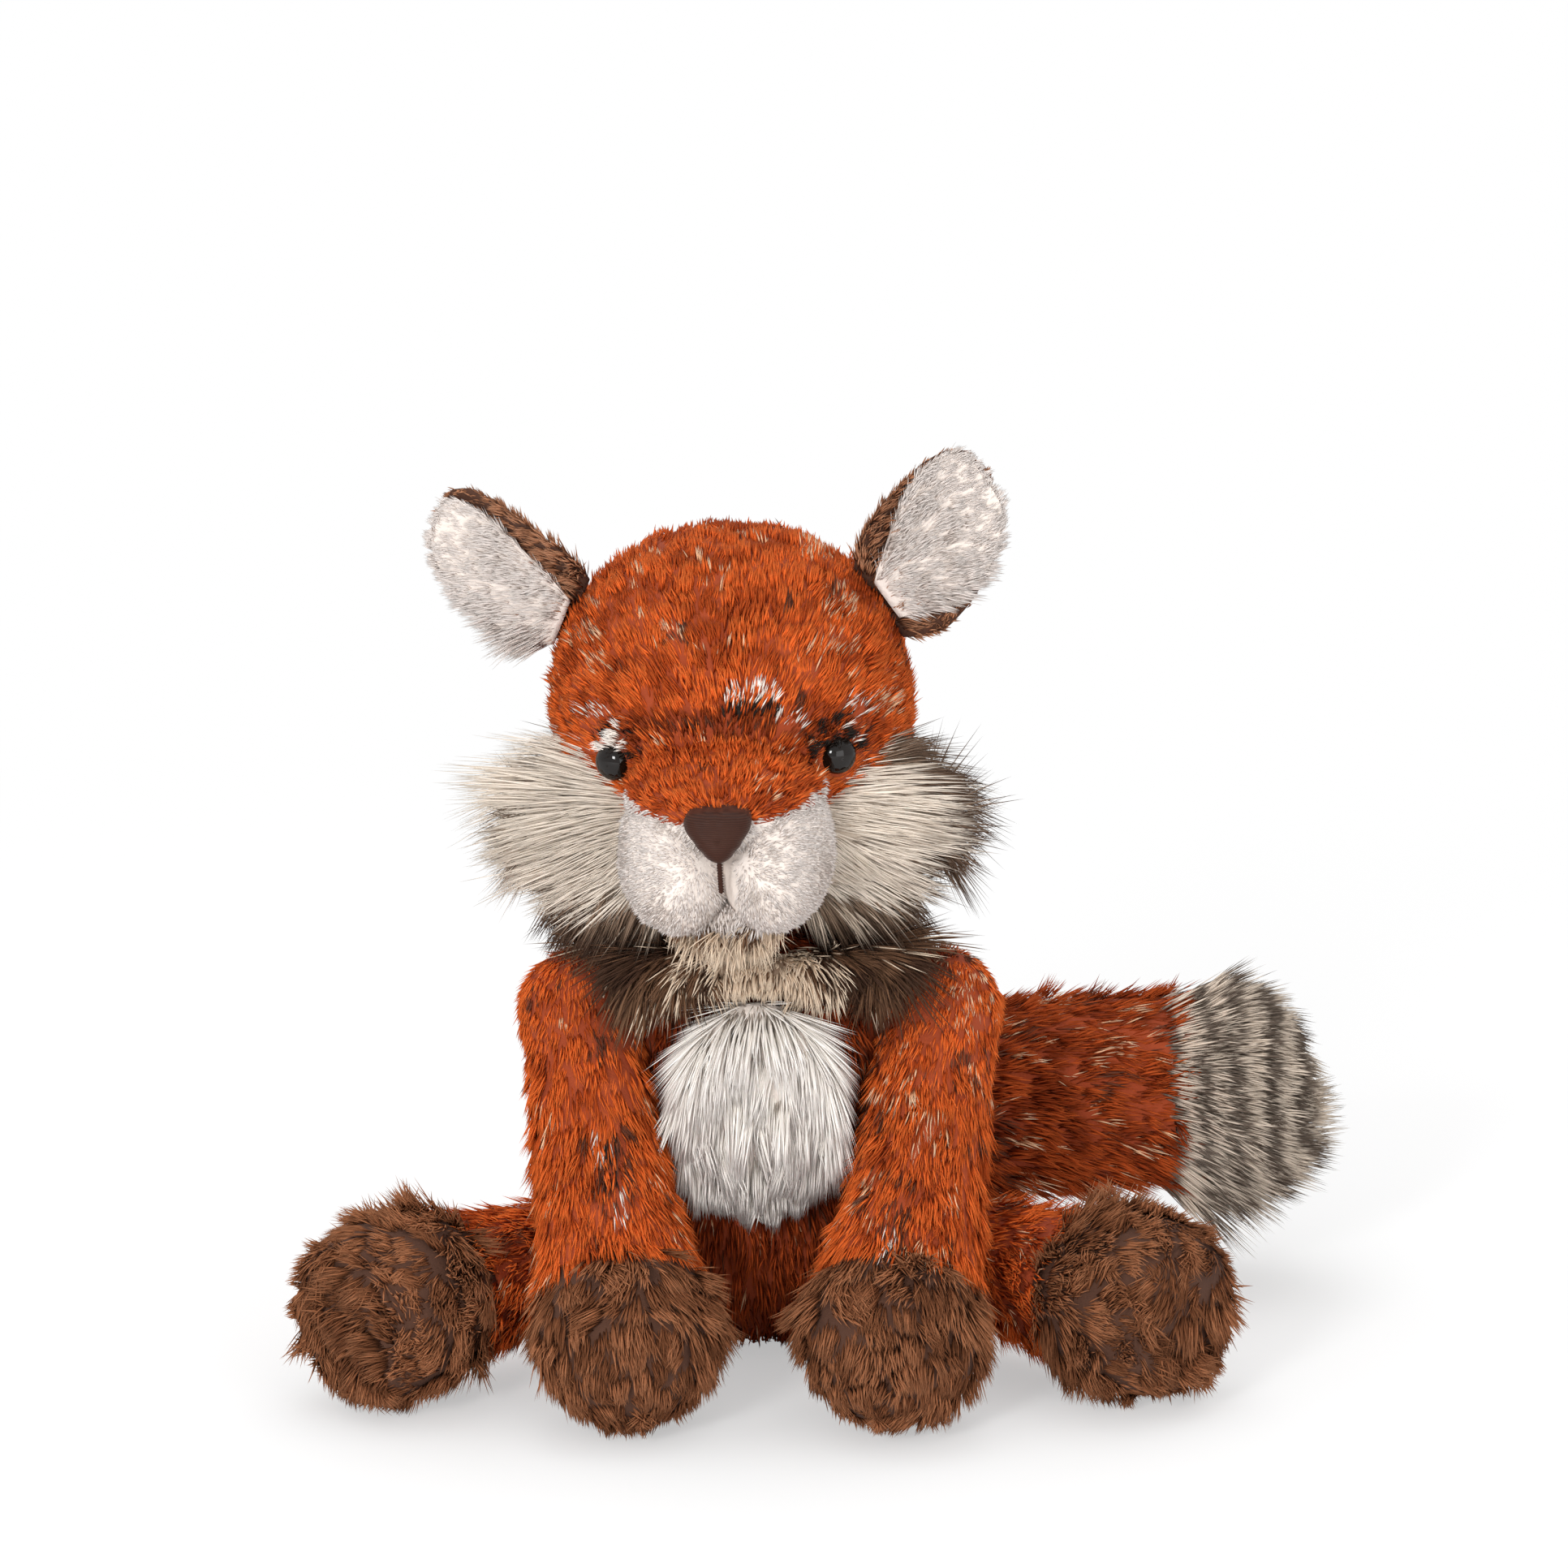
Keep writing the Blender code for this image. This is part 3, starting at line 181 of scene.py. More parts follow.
@dataclass
class Surface:
    """A closed surface on a grid: rows run along it, columns run round it.

    Attributes:
        points: Array of rows by columns by 3.
    """

    points: Array
    normals: Array = field(init=False)
    flow: Array = field(init=False)

    def __post_init__(self) -> None:
        """Work out the outward normals and the heading along the rows.

        The normal is the cross product of the step round and the step along, and at a pole it is the
        mean of the next row's.
        """
        along = np.gradient(self.points, axis=0)
        around = np.roll(self.points, -1, axis=1) - np.roll(self.points, 1, axis=1)
        normals = np.cross(around, along)
        for row, near in ((0, 1), (-1, -2)):
            if np.linalg.norm(around[row]) < 1e-6:
                normals[row] = unit(normals[near]).mean(axis=0)
                along[row] = along[near]
        middle = self.points.mean(axis=1, keepdims=True)
        if np.sum(normals * (self.points - middle)) < 0:
            normals = -normals
        self.normals = unit(normals)
        self.flow = unit(along)

    def drawn_in(self, inset: float) -> Surface:
        """The same surface moved inward along its normals."""
        return Surface(self.points - self.normals * inset)

    def moved(self, matrix: Array) -> Surface:
        """The same surface under a 4 by 4 matrix."""
        return Surface(self.points @ matrix[:3, :3].T + matrix[:3, 3])

    def cells(self) -> tuple[Array, Array]:
        """Middle and area of each cell of the grid.

        The area is half the length of the cross product of the cell's diagonals.
        """
        a, b = self.points[:-1], self.points[1:]
        c, d = np.roll(b, -1, axis=1), np.roll(a, -1, axis=1)
        area = np.linalg.norm(np.cross(c - a, d - b), axis=-1) / 2
        return ((a + b + c + d) / 4).reshape(-1, 3), area.ravel()

    def at(self, values: Array, u: Array, v: Array) -> Array:
        """Values of a grid between its corners, weighted by the two nearest rows and columns.

        Args:
            values: Grid of rows by columns by 3.
            u: Places along it, in rows.
            v: Places round it, in columns.

        Returns:
            One row for each place.
        """
        rows, columns = values.shape[:2]
        r = np.clip(u.astype(int), 0, rows - 2)
        c = v.astype(int)
        fu, fv = (u - r)[:, None], (v - c)[:, None]
        near, far = c % columns, (c + 1) % columns
        low = values[r, near] * (1 - fv) + values[r, far] * fv
        high = values[r + 1, near] * (1 - fv) + values[r + 1, far] * fv
        return low * (1 - fu) + high * fu

    def flat_map(self) -> tuple[Array, Array]:
        """Corners on the bake map of the grid's cells, and of the fans over its two ends.

        The columns fill the map's width. The rows run from a tenth to nine tenths of its height, and
        the fans lie in the margins below and above.
        """
        rows, columns = self.points.shape[:2]
        near = np.arange(columns) / columns
        far, middle, ones = near + 1 / columns, near + 0.5 / columns, np.ones(columns)
        height = np.arange(rows)[:, None] / (rows - 1) * 0.8 + 0.1 + 0 * near
        low, high = height[:-1], height[1:]
        left, right = near + 0 * low, far + 0 * low
        cells = np.stack([left, low, right, low, right, high, left, high], -1).reshape(-1, 4, 2)
        fans = np.concatenate([
            np.stack([far, 0.09 * ones, near, 0.09 * ones, middle, 0.01 * ones], -1),
            np.stack([near, 0.91 * ones, far, 0.91 * ones, middle, 0.99 * ones], -1),
        ]).reshape(-1, 3, 2)
        return cells, fans

    def mesh(self, name: str) -> bpy.types.Object:
        """A closed, smooth mesh of the grid, with a flat fan over each open end.

        Args:
            name: Name of the object.

        Returns:
            The object, linked to the scene.
        """
        rows, columns = self.points.shape[:2]
        index = np.arange(rows * columns).reshape(rows, columns)
        after = np.roll(index, -1, axis=1)
        quads = np.stack([index[:-1], after[:-1], after[1:], index[1:]], -1).reshape(-1, 4)
        places = np.concatenate([self.points.reshape(-1, 3), self.points[[0, -1]].mean(axis=1)])
        first, last = np.full(columns, rows * columns), np.full(columns, rows * columns + 1)
        fans = np.concatenate([
            np.stack([after[0], index[0], first], -1), np.stack([index[-1], after[-1], last], -1),
        ])
        cell_map, fan_map = self.flat_map()
        parts = [quads, fans, cell_map, fan_map]
        solid = np.concatenate([quads[:, :3], quads[:, [0, 2, 3]], fans])
        if signed_volume(places[solid]) < 0:
            parts = [part[:, ::-1] for part in parts]
        quads, fans, cell_map, fan_map = parts
        loops = np.concatenate([quads.ravel(), fans.ravel()])
        starts = np.concatenate([np.arange(len(quads)) * 4, quads.size + np.arange(len(fans)) * 3])
        corners = np.concatenate([cell_map.reshape(-1, 2), fan_map.reshape(-1, 2)])
        return lay_mesh(name, places, loops, starts, corners)


def lay_mesh(
    name: str, places: Array, loops: Array, starts: Array, corner_uv: Array, pile: Array | None = None
) -> bpy.types.Object:
    """Put whole arrays into a new mesh object.

    Args:
        name: Name of the object.
        places: Vertices, one row each.
        loops: Vertex of each face corner.
        starts: First corner of each face.
        corner_uv: Place of each corner on the map.
        pile: Optional three numbers for each vertex, read by the pile's finish.

    Returns:
        The object, linked to the scene.
    """
    mesh = bpy.data.meshes.new(name)
    mesh.vertices.add(len(places))
    mesh.loops.add(len(loops))
    mesh.polygons.add(len(starts))
    mesh.vertices.foreach_set("co", places.astype(np.float32).ravel())
    mesh.loops.foreach_set("vertex_index", loops.astype(np.int32))
    mesh.polygons.foreach_set("loop_start", starts.astype(np.int32))
    mesh.update(calc_edges=True)
    mesh.shade_smooth()
    layer = mesh.uv_layers.new(name="OFBake")
    layer.uv.foreach_set("vector", corner_uv.astype(np.float32).ravel())
    if pile is not None:
        attribute = mesh.attributes.new("pile", "FLOAT_VECTOR", "POINT")
        attribute.data.foreach_set("vector", pile.astype(np.float32).ravel())
    return linked(name, mesh)


def linked(name: str, data: bpy.types.ID) -> bpy.types.Object:
    """A new object of the scene, at the origin."""
    item = bpy.data.objects.new(name, data)
    bpy.context.collection.objects.link(item)
    return item


@dataclass(frozen=True)
class Tube:
    """A stuffed form along a bent line.

    Attributes:
        start: First point of the line.
        end: Last point of the line.
        stations: Distance along the line, half width across and half width up, one row each.
        control: Point that the line bends toward, or None for a straight line.
        side: Heading of the half width across.
        level: Fixed heading of every ring, or None to follow the line.
        root: Distance of the closed near end, or None where it is flat.
        tip: Distance of the closed far end, or None where it is flat.
        shifts: Optional sideways shift of each station.
    """

    start: Place
    end: Place
    stations: Rows
    control: Place | None = None
    side: Place = (1.0, 0.0, 0.0)
    level: Place | None = None
    root: float | None = None
    tip: float | None = None
    shifts: Rows | None = None

    def profile(self, count: int) -> Array:
        """Stations with smooth values between them.

        A Catmull-Rom curve runs through distance, the two half widths and the shift. Past a closed
        end it goes on through the mirrored neighbour, so the end is round.

        Args:
            count: How many rows.

        Returns:
            Distance, half width across, half width up and shift, one row each.
        """
        shifts = self.shifts or ((0.0, 0.0, 0.0),) * len(self.stations)
        table = np.concatenate([np.array(self.stations), np.array(shifts)], axis=1)
        mirrored = np.array([1, -1, -1, 1, 1, 1])
        first, last = 2 * table[0] - table[1], 2 * table[-1] - table[-2]
        if self.root is not None:
            first = table[0] * mirrored
            table = np.vstack([[self.root, 0, 0, *table[0, 3:]], table])
        if self.tip is not None:
            last = table[-1] * mirrored
            table = np.vstack([table, [self.tip, 0, 0, *table[-1, 3:]]])
        knots = np.vstack([first, table, last])
        steps = np.linalg.norm(np.diff(table[:, :3], axis=0), axis=1)
        walked = np.concatenate([[0], np.cumsum(steps)])
        place = np.interp(np.linspace(0, walked[-1], count), walked, np.arange(len(table)))
        span = np.clip(place.astype(int), 0, len(table) - 2)
        t = (place - span)[:, None]
        a, b, c, d = (knots[span + k] for k in range(4))
        curve = b + 0.5 * t * (c - a + t * (2 * a - 5 * b + 4 * c - d + t * (3 * (b - c) + d - a)))
        curve[:, 1:3] = np.maximum(curve[:, 1:3], 0)
        return curve

    def surface(self, rows: int, columns: int) -> Surface:
        """The form as a grid.

        A point is the line's point at a distance, plus its shift, plus across times the cosine and up
        times the sine of the angle round the ring. The line is a parabola through start and end.

        Args:
            rows: Rows along the form.
            columns: Columns round it.

        Returns:
            The grid.
        """
        curve = self.profile(rows)
        start, end = np.array(self.start), np.array(self.end)
        control = np.array(self.control) if self.control else (start + end) / 2
        ahead = np.maximum(curve[:, :1] / np.linalg.norm(end - start), 0)
        middle = start * (1 - ahead) ** 2 + control * 2 * ahead * (1 - ahead) + end * ahead**2
        middle = middle + unit(control - start) * np.minimum(curve[:, :1], 0)
        heading = unit((control - start) * (1 - ahead) + (end - control) * ahead)
        if self.level:
            heading = np.tile(self.level, (rows, 1))
        side = np.array(self.side)
        across = unit(side - heading * dot(heading, side))
        up = np.cross(heading, across)
        angle = np.linspace(0, math.tau, columns, endpoint=False)[None, :, None]
        points = (middle + curve[:, 3:6])[:, None]
        points = points + across[:, None] * np.cos(angle) * curve[:, None, 1:2]
        points = points + up[:, None] * np.sin(angle) * curve[:, None, 2:3]
        return Surface(points)

    def parted(self, rows: int, columns: int, cuff: float) -> tuple[Surface, int]:
        """The whole form, and the row where a distance along it is reached.

        Args:
            rows: Rows along the form.
            columns: Columns round it.
            cuff: Distance of the cuff.

        Returns:
            The whole form and the cuff's row.
        """
        distance = self.profile(rows)[:, 0]
        return self.surface(rows, columns), int(np.searchsorted(distance, cuff))


def rows_of(shares: Sequence[Sequence[float]], length: float, across: float, up: float) -> Rows:
    """Stations from shares of a length and two half widths."""
    return tuple((a * length, b * across, c * up) for a, b, c in shares)


def ball_rows(radius: float) -> Rows:
    """Stations of the round near end of a limb, up to its pivot."""
    return tuple((a * radius, b * radius, b * radius) for a, b in BALL_SHARES)


class Nodes:
    """Short ways to add and join shader nodes of one material."""

    def __init__(self, material: bpy.types.Material) -> None:
        """Start an empty tree with its output and Principled shader.

        Args:
            material: Material that the tree belongs to.
        """
        material.use_nodes = True
        self.material = material
        self.tree = material.node_tree
        self.tree.nodes.clear()
        self.output = self.add("ShaderNodeOutputMaterial")
        self.shader = self.add("ShaderNodeBsdfPrincipled")
        self.join(self.shader.outputs["BSDF"], self.output.inputs["Surface"])

    def add(self, kind: str, **settings: object) -> bpy.types.Node:
        """A new node with its settings.

        Args:
            kind: Type of the node.
            settings: Its properties by name.

        Returns:
            The node.
        """
        node = self.tree.nodes.new(kind)
        for key, value in settings.items():
            setattr(node, key, value)
        return node

    def join(self, source: Socket, target: Socket) -> None:
        """A link from one socket to another."""
        self.tree.links.new(source, target)

    def feed(self, target: Socket, value: object) -> None:
        """Link a socket, or set a plain value.

        Args:
            target: Input socket.
            value: Output socket or plain value.
        """
        if isinstance(value, Socket):
            self.join(value, target)
        else:
            target.default_value = value

    def maths(self, operation: str, *values: object) -> Socket:
        """One sum of some values.

        Args:
            operation: Name of the operation.
            values: Sockets or numbers.

        Returns:
            The result.
        """
        node = self.add("ShaderNodeMath", operation=operation)
        for target, value in zip(node.inputs, values):
            self.feed(target, value)
        return node.outputs[0]

    def mix(self, share: object, a: object, b: object) -> Socket:
        """A mix of two colours.

        Args:
            share: Share of the second colour, as a socket or a number.
            a: First colour, or its socket.
            b: Second colour, or its socket.

        Returns:
            The mixed colour.
        """
        node = self.add("ShaderNodeMix", data_type="RGBA")
        self.feed(node.inputs["Factor"], share)
        for target, value in (("A", a), ("B", b)):
            self.feed(node.inputs[target], value if isinstance(value, Socket) else (*value, 1.0))
        return node.outputs["Result"]

    def ramp(self, value: object, stops: Sequence[tuple[float, Colour]]) -> Socket:
        """A colour for each value, straight between its stops.

        Args:
            value: Socket or number.
            stops: Place and colour of each stop.

        Returns:
            The colour.
        """
        node = self.add("ShaderNodeValToRGB")
        elements = node.color_ramp.elements
        for index, (place, colour) in enumerate(stops):
            element = elements[index] if index < 2 else elements.new(place)
            element.position = place
            element.color = (*colour, 1.0)
        self.feed(node.inputs["Fac"], value)
        return node.outputs["Color"]

    def place(self) -> Socket:
        """The object's own coordinates."""
        return self.add("ShaderNodeTexCoord").outputs["Object"]

    def noise(self, scale: float, detail: float = 2.0, stretch: Place = (1, 1, 1)) -> Socket:
        """Noise over the object's own coordinates.

        Args:
            scale: Scale of the noise.
            detail: Number of its finer layers.
            stretch: Scale of the coordinates along each axis.

        Returns:
            The noise, from 0 to 1.
        """
        mapping = self.add("ShaderNodeMapping")
        mapping.inputs["Scale"].default_value = stretch
        self.join(self.place(), mapping.inputs["Vector"])
        node = self.add("ShaderNodeTexNoise")
        node.inputs["Scale"].default_value = scale
        node.inputs["Detail"].default_value = detail
        self.join(mapping.outputs["Vector"], node.inputs["Vector"])
        return node.outputs["Fac"]

    def bump(self, height: Socket, depth: float) -> None:
        """Raise the surface by a height map.

        Args:
            height: Height map.
            depth: Height of the bumps.
        """
        node = self.add("ShaderNodeBump")
        node.inputs["Distance"].default_value = depth
        self.join(height, node.inputs["Height"])
        self.join(node.outputs["Normal"], self.shader.inputs["Normal"])

    def cover(self, colour: object, plain: Colour, roughness: float, specular: float = 0.5) -> None:
        """Set the shader's surface.

        Args:
            colour: Socket or value of the base colour.
            plain: Colour in a solid view.
            roughness: Roughness of the surface.
            specular: Level of its mirror light.
        """
        self.feed(self.shader.inputs["Base Color"], colour)
        self.shader.inputs["Roughness"].default_value = roughness
        self.shader.inputs["Specular IOR Level"].default_value = specular
        self.material.diffuse_color = (*plain, 1.0)


@dataclass(frozen=True)
class Strand:
    """Colours of one kind of strand: at its root, part way and toward its tip.

    Attributes:
        root: Colour in the cloth, darker in most kinds: partly real dark roots, partly painted shade.
        body: Colour part way.
        tip: Colour of the end.
        turn: Share of the strand where the body colour is reached.
        top: Share of the strand where the tip colour is reached.
    """

    root: Colour
    body: Colour
    tip: Colour
    turn: float = 0.5
    top: float = 1.0

    def stops(self) -> tuple[tuple[float, Colour], ...]:
        """The strand's colours as the stops of a ramp."""
        return (0.0, self.root), (self.turn, self.body), (self.top, self.tip)


@dataclass(frozen=True)
class Finish:
    """A material that is built at its first use and then found by its name."""

    name: str

    def paint(self, nodes: Nodes) -> None:
        """Build the finish in a new node tree."""
        raise NotImplementedError

    def material(self) -> bpy.types.Material:
        """The finish as a node material."""
        known = bpy.data.materials.get(self.name)
        if known is None:
            known = bpy.data.materials.new(self.name)
            self.paint(Nodes(known))
        return known


@dataclass(frozen=True)
class PileFinish(Finish):
    """Colour of a pile, chosen strand by strand.

    Attributes:
        kinds: The kinds of strand, in the order of their marks.
        spread: Brightness of the darkest and the lightest strand.
    """

    kinds: tuple[Strand, ...]
    spread: tuple[float, float] = (0.80, 1.16)

    def tint(self, nodes: Nodes, along: Socket, mark: Socket) -> Socket:
        """A ramp along the strand for each kind, picked by the mark.

        Args:
            nodes: Node tree of the material.
            along: Share along the strand.
            mark: Mark of its kind.

        Returns:
            The colour.
        """
        colour = nodes.ramp(along, self.kinds[0].stops())
        for index, kind in enumerate(self.kinds[1:], start=1):
            past = nodes.maths("GREATER_THAN", mark, index / MARKS)
            colour = nodes.mix(past, colour, nodes.ramp(along, kind.stops()))
        return colour

    def paint(self, nodes: Nodes) -> None:
        """The strand's tint, made darker or lighter by its shade.

        The pile attribute holds the share along the strand, its shade and its mark.

        Args:
            nodes: Node tree of the material.
        """
        split = nodes.add("ShaderNodeSeparateXYZ")
        pile = nodes.add("ShaderNodeAttribute", attribute_name="pile")
        nodes.join(pile.outputs["Vector"], split.inputs[0])
        along, shade, mark = split.outputs
        low, high = self.spread
        scaled = nodes.add("ShaderNodeVectorMath", operation="SCALE")
        nodes.join(self.tint(nodes, along, mark), scaled.inputs[0])
        nodes.join(nodes.maths("MULTIPLY_ADD", shade, high - low, low), scaled.inputs["Scale"])
        nodes.cover(scaled.outputs[0], self.kinds[0].body, roughness=0.8, specular=0.08)


@dataclass(frozen=True)
class BandedFinish(PileFinish):
    """A pile whose strands are banded pale and dark, so that rings cross the whole brush.

    Attributes:
        dark: The strands' colour inside a band.
        cycles: Bands along one strand.
        pale_shares: Share of a band's length, and how pale the strand is there.
        strength: How dark a band is at the root and at the tip.
    """

    dark: Colour = (0.072, 0.048, 0.035)
    cycles: float = 1.6
    pale_shares: Rows = ((0.0, 1.0), (0.30, 1.0), (0.46, 0.0), (0.84, 0.0), (1.0, 1.0))
    strength: tuple[float, float] = (0.7, 0.95)

    def tint(self, nodes: Nodes, along: Socket, mark: Socket) -> Socket:
        """The plain pile's tint, darkened in bands.

        The phase is the mark plus the share along the strand times the number of bands, and its
        fraction picks between the two colours.

        Args:
            nodes: Node tree of the material.
            along: Share along the strand.
            mark: Phase of its bands.

        Returns:
            The colour.
        """
        phase = nodes.maths("ADD", mark, nodes.maths("MULTIPLY", along, self.cycles))
        stops = [(place, (pale,) * 3) for place, pale in self.pale_shares]
        band = nodes.ramp(nodes.maths("FRACT", phase), stops)
        weight = nodes.ramp(along, [(place, (level,) * 3) for place, level in enumerate(self.strength)])
        share = nodes.maths("MULTIPLY", band, weight)
        return nodes.mix(share, super().tint(nodes, along, mark), self.dark)


@dataclass(frozen=True)
class ClothFinish(Finish):
    """Knitted backing that the pile is rooted in, with a fine loop pattern."""

    colour: Colour
    shadow: Colour
    roughness: float = 0.95

    def knit(self, nodes: Nodes) -> Socket:
        """The two colours mixed by soft noise."""
        return nodes.mix(nodes.noise(120.0), self.shadow, self.colour)

    def paint(self, nodes: Nodes) -> None:
        """The mixed colours with small knit bumps."""
        nodes.cover(self.knit(nodes), self.colour, self.roughness)
        nodes.bump(nodes.noise(900.0), depth=0.0003)


@dataclass(frozen=True)
class PiecedFinish(ClothFinish):
    """Two cloths sewn along a level seam.

    Attributes:
        below: Colour of the cloth under the seam.
        level: Height of the seam over the floor.
        up: Heading that the height is measured along.
    """

    below: Colour = (0.82, 0.74, 0.68)
    level: float = 0.0
    up: Place = UPWARD

    def paint(self, nodes: Nodes) -> None:
        """The knit's colour above the seam and the other colour below it.

        Args:
            nodes: Node tree of the material.
        """
        height = nodes.add("ShaderNodeVectorMath", operation="DOT_PRODUCT")
        nodes.join(nodes.place(), height.inputs[0])
        height.inputs[1].default_value = self.up
        above = nodes.maths("GREATER_THAN", height.outputs["Value"], self.level)
        nodes.cover(nodes.mix(above, self.below, self.knit(nodes)), self.colour, self.roughness)


@dataclass(frozen=True)
class SatinFinish(Finish):
    """Woven satin of the nose and the lip thread."""

    colour: Colour
    # Lighter colour along the ribs: painted sheen.
    light: Colour

    def paint(self, nodes: Nodes) -> None:
        """Fine ribs across the cloth, with a soft sheen and a lighter colour along the ribs as painted sheen.

        Args:
            nodes: Node tree of the material.
        """
        rib = nodes.add("ShaderNodeTexWave", bands_direction="Z")
        rib.inputs["Scale"].default_value = 520.0
        rib.inputs["Distortion"].default_value = 1.2
        nodes.join(nodes.place(), rib.inputs["Vector"])
        # Painted sheen: the lighter colour follows the ribs, broken by noise.
        rib_sheen = nodes.maths("MULTIPLY", nodes.noise(260.0, 3.0, (1.0, 1.0, 0.4)), rib.outputs["Fac"])
        nodes.cover(nodes.mix(rib_sheen, self.colour, self.light), self.colour, roughness=0.46, specular=0.13)
        nodes.shader.inputs["Sheen Weight"].default_value = 0.03
        nodes.shader.inputs["Sheen Roughness"].default_value = 0.35
        nodes.bump(rib.outputs["Fac"], depth=0.00008)


@dataclass(frozen=True)
class EyeFinish(Finish):
    """Moulded dark plastic, smooth and glossy."""

    colour: Colour
    cloud: Colour

    def paint(self, nodes: Nodes) -> None:
        """Near black with faint brown clouds."""
        share = nodes.maths("MULTIPLY", nodes.noise(160.0, 1.0), 0.5)
        nodes.cover(nodes.mix(share, self.colour, self.cloud), self.colour, roughness=0.06, specular=0.34)


@dataclass(frozen=True)
class Plush:
    """A slot of the record with its backing and its pile."""

    slot: str
    cloth: ClothFinish
    pile: PileFinish


RUST = Strand((0.30, 0.043, 0.007), (0.64, 0.112, 0.019), (0.76, 0.170, 0.036))
RUST_DEEP = Strand((0.15, 0.020, 0.004), (0.40, 0.060, 0.010), (0.54, 0.100, 0.020))
# SHADE_RUST and SHADE_DEEP are RUST and RUST_DEEP darkened: painted shade for the torso and the tail's
# sleeve.
SHADE_RUST = Strand((0.15, 0.020, 0.004), (0.40, 0.066, 0.013), (0.52, 0.100, 0.022))
SHADE_DEEP = Strand((0.08, 0.010, 0.002), (0.25, 0.036, 0.007), (0.36, 0.062, 0.014))
CREAM_FLECK = Strand((0.40, 0.10, 0.025), (0.80, 0.44, 0.24), (0.90, 0.70, 0.50), 0.45)
DARK_FLECK = Strand((0.20, 0.034, 0.009), (0.17, 0.052, 0.027), (0.055, 0.028, 0.020), 0.4)
WHITE_TUFT = Strand((0.50, 0.36, 0.27), (0.86, 0.77, 0.69), (0.94, 0.88, 0.83))
BLACK_TUFT = Strand((0.10, 0.04, 0.02), (0.030, 0.022, 0.018), (0.020, 0.016, 0.014))
BROWN = Strand((0.080, 0.029, 0.012), (0.245, 0.092, 0.040), (0.390, 0.165, 0.080))
BROWN_DEEP = Strand((0.045, 0.015, 0.007), (0.155, 0.055, 0.023), (0.260, 0.102, 0.046))
WHITE = Strand((0.70, 0.62, 0.57), (0.77, 0.695, 0.65), (0.80, 0.735, 0.70))
SMOKE = Strand((0.66, 0.58, 0.53), (0.68, 0.60, 0.55), (0.50, 0.43, 0.39))
EAR_BROWN = Strand((0.17, 0.068, 0.032), (0.36, 0.158, 0.082), (0.47, 0.235, 0.135))
EAR_DEEP = Strand((0.11, 0.042, 0.020), (0.25, 0.105, 0.053), (0.36, 0.170, 0.094))
BIB_WHITE = Strand((0.92, 0.84, 0.75), (0.97, 0.92, 0.86), (0.98, 0.94, 0.90), 0.4)
BIB_CREAM = Strand((0.90, 0.80, 0.69), (0.95, 0.88, 0.79), (0.97, 0.92, 0.86), 0.4)
RUFF_CREAM = Strand((0.68, 0.58, 0.48), (0.86, 0.77, 0.67), (0.80, 0.69, 0.58), 0.50)
RUFF_TIPPED = Strand((0.64, 0.53, 0.43), (0.60, 0.49, 0.39), (0.075, 0.048, 0.035), 0.55, 0.90)
RUFF_DARK = Strand((0.48, 0.37, 0.28), (0.32, 0.22, 0.155), (0.095, 0.055, 0.036), 0.45, 0.85)
COLLAR_CREAM = Strand((0.48, 0.36, 0.25), (0.70, 0.55, 0.41), (0.74, 0.60, 0.46), 0.5)
COLLAR_BROWN = Strand((0.27, 0.165, 0.100), (0.215, 0.115, 0.064), (0.105, 0.050, 0.028), 0.5)
COLLAR_DEEP = Strand((0.16, 0.085, 0.050), (0.100, 0.050, 0.030), (0.045, 0.023, 0.015), 0.45)
BRUSH = Strand((0.58, 0.48, 0.39), (0.76, 0.65, 0.54), (0.50, 0.41, 0.33), 0.5)
# Painted shade: dark rust for the crease over the muzzle and the shadow under the ruffs.
CREASE = Strand((0.08, 0.011, 0.003), (0.20, 0.031, 0.007), (0.30, 0.055, 0.012))
FLECKS_AND_SHADE = (CREAM_FLECK, DARK_FLECK, WHITE_TUFT, BLACK_TUFT, CREASE)
RUST_PILE = PileFinish("rust pile", (RUST, RUST_DEEP, *FLECKS_AND_SHADE))
# The rust pile darkened as painted shade, for the torso and the tail's sleeve.
SHADE_PILE = PileFinish("shaded rust pile", (SHADE_RUST, SHADE_DEEP, *FLECKS_AND_SHADE))
BROWN_PILE = PileFinish("brown pile", (BROWN, BROWN_DEEP), (0.70, 1.25))
EAR_PILE = PileFinish("ear back pile", (EAR_BROWN, EAR_DEEP), (0.75, 1.20))
WHITE_PILE = PileFinish("white pile", (WHITE, SMOKE), (0.94, 1.03))
BIB_PILE = PileFinish("bib pile", (BIB_WHITE, BIB_CREAM), (0.96, 1.02))
RUFF_PILE = PileFinish("ruff pile", (RUFF_CREAM, RUFF_TIPPED, RUFF_DARK), (0.84, 1.10))
COLLAR_PILE = PileFinish("collar pile", (COLLAR_CREAM, COLLAR_BROWN, COLLAR_DEEP), (0.80, 1.15))
BRUSH_PILE = BandedFinish("brush pile", (BRUSH,), (0.80, 1.12))
RUST_CLOTH = ClothFinish("rust backing", (0.36, 0.055, 0.010), (0.24, 0.034, 0.007))
BROWN_CLOTH = ClothFinish("brown backing", (0.085, 0.032, 0.015), (0.055, 0.020, 0.010))
WHITE_CLOTH = ClothFinish("white backing", (0.86, 0.77, 0.71), (0.78, 0.69, 0.62))
GREY_CLOTH = ClothFinish("grey backing", (0.60, 0.50, 0.41), (0.46, 0.38, 0.30))
COLLAR_CLOTH = ClothFinish("collar backing", (0.30, 0.21, 0.14), (0.20, 0.13, 0.09))
FILLING = ClothFinish("loose filling", (0.86, 0.85, 0.83), (0.72, 0.71, 0.69))
POUCH_CLOTH = ClothFinish("pouch cloth", (0.62, 0.58, 0.52), (0.50, 0.46, 0.41))
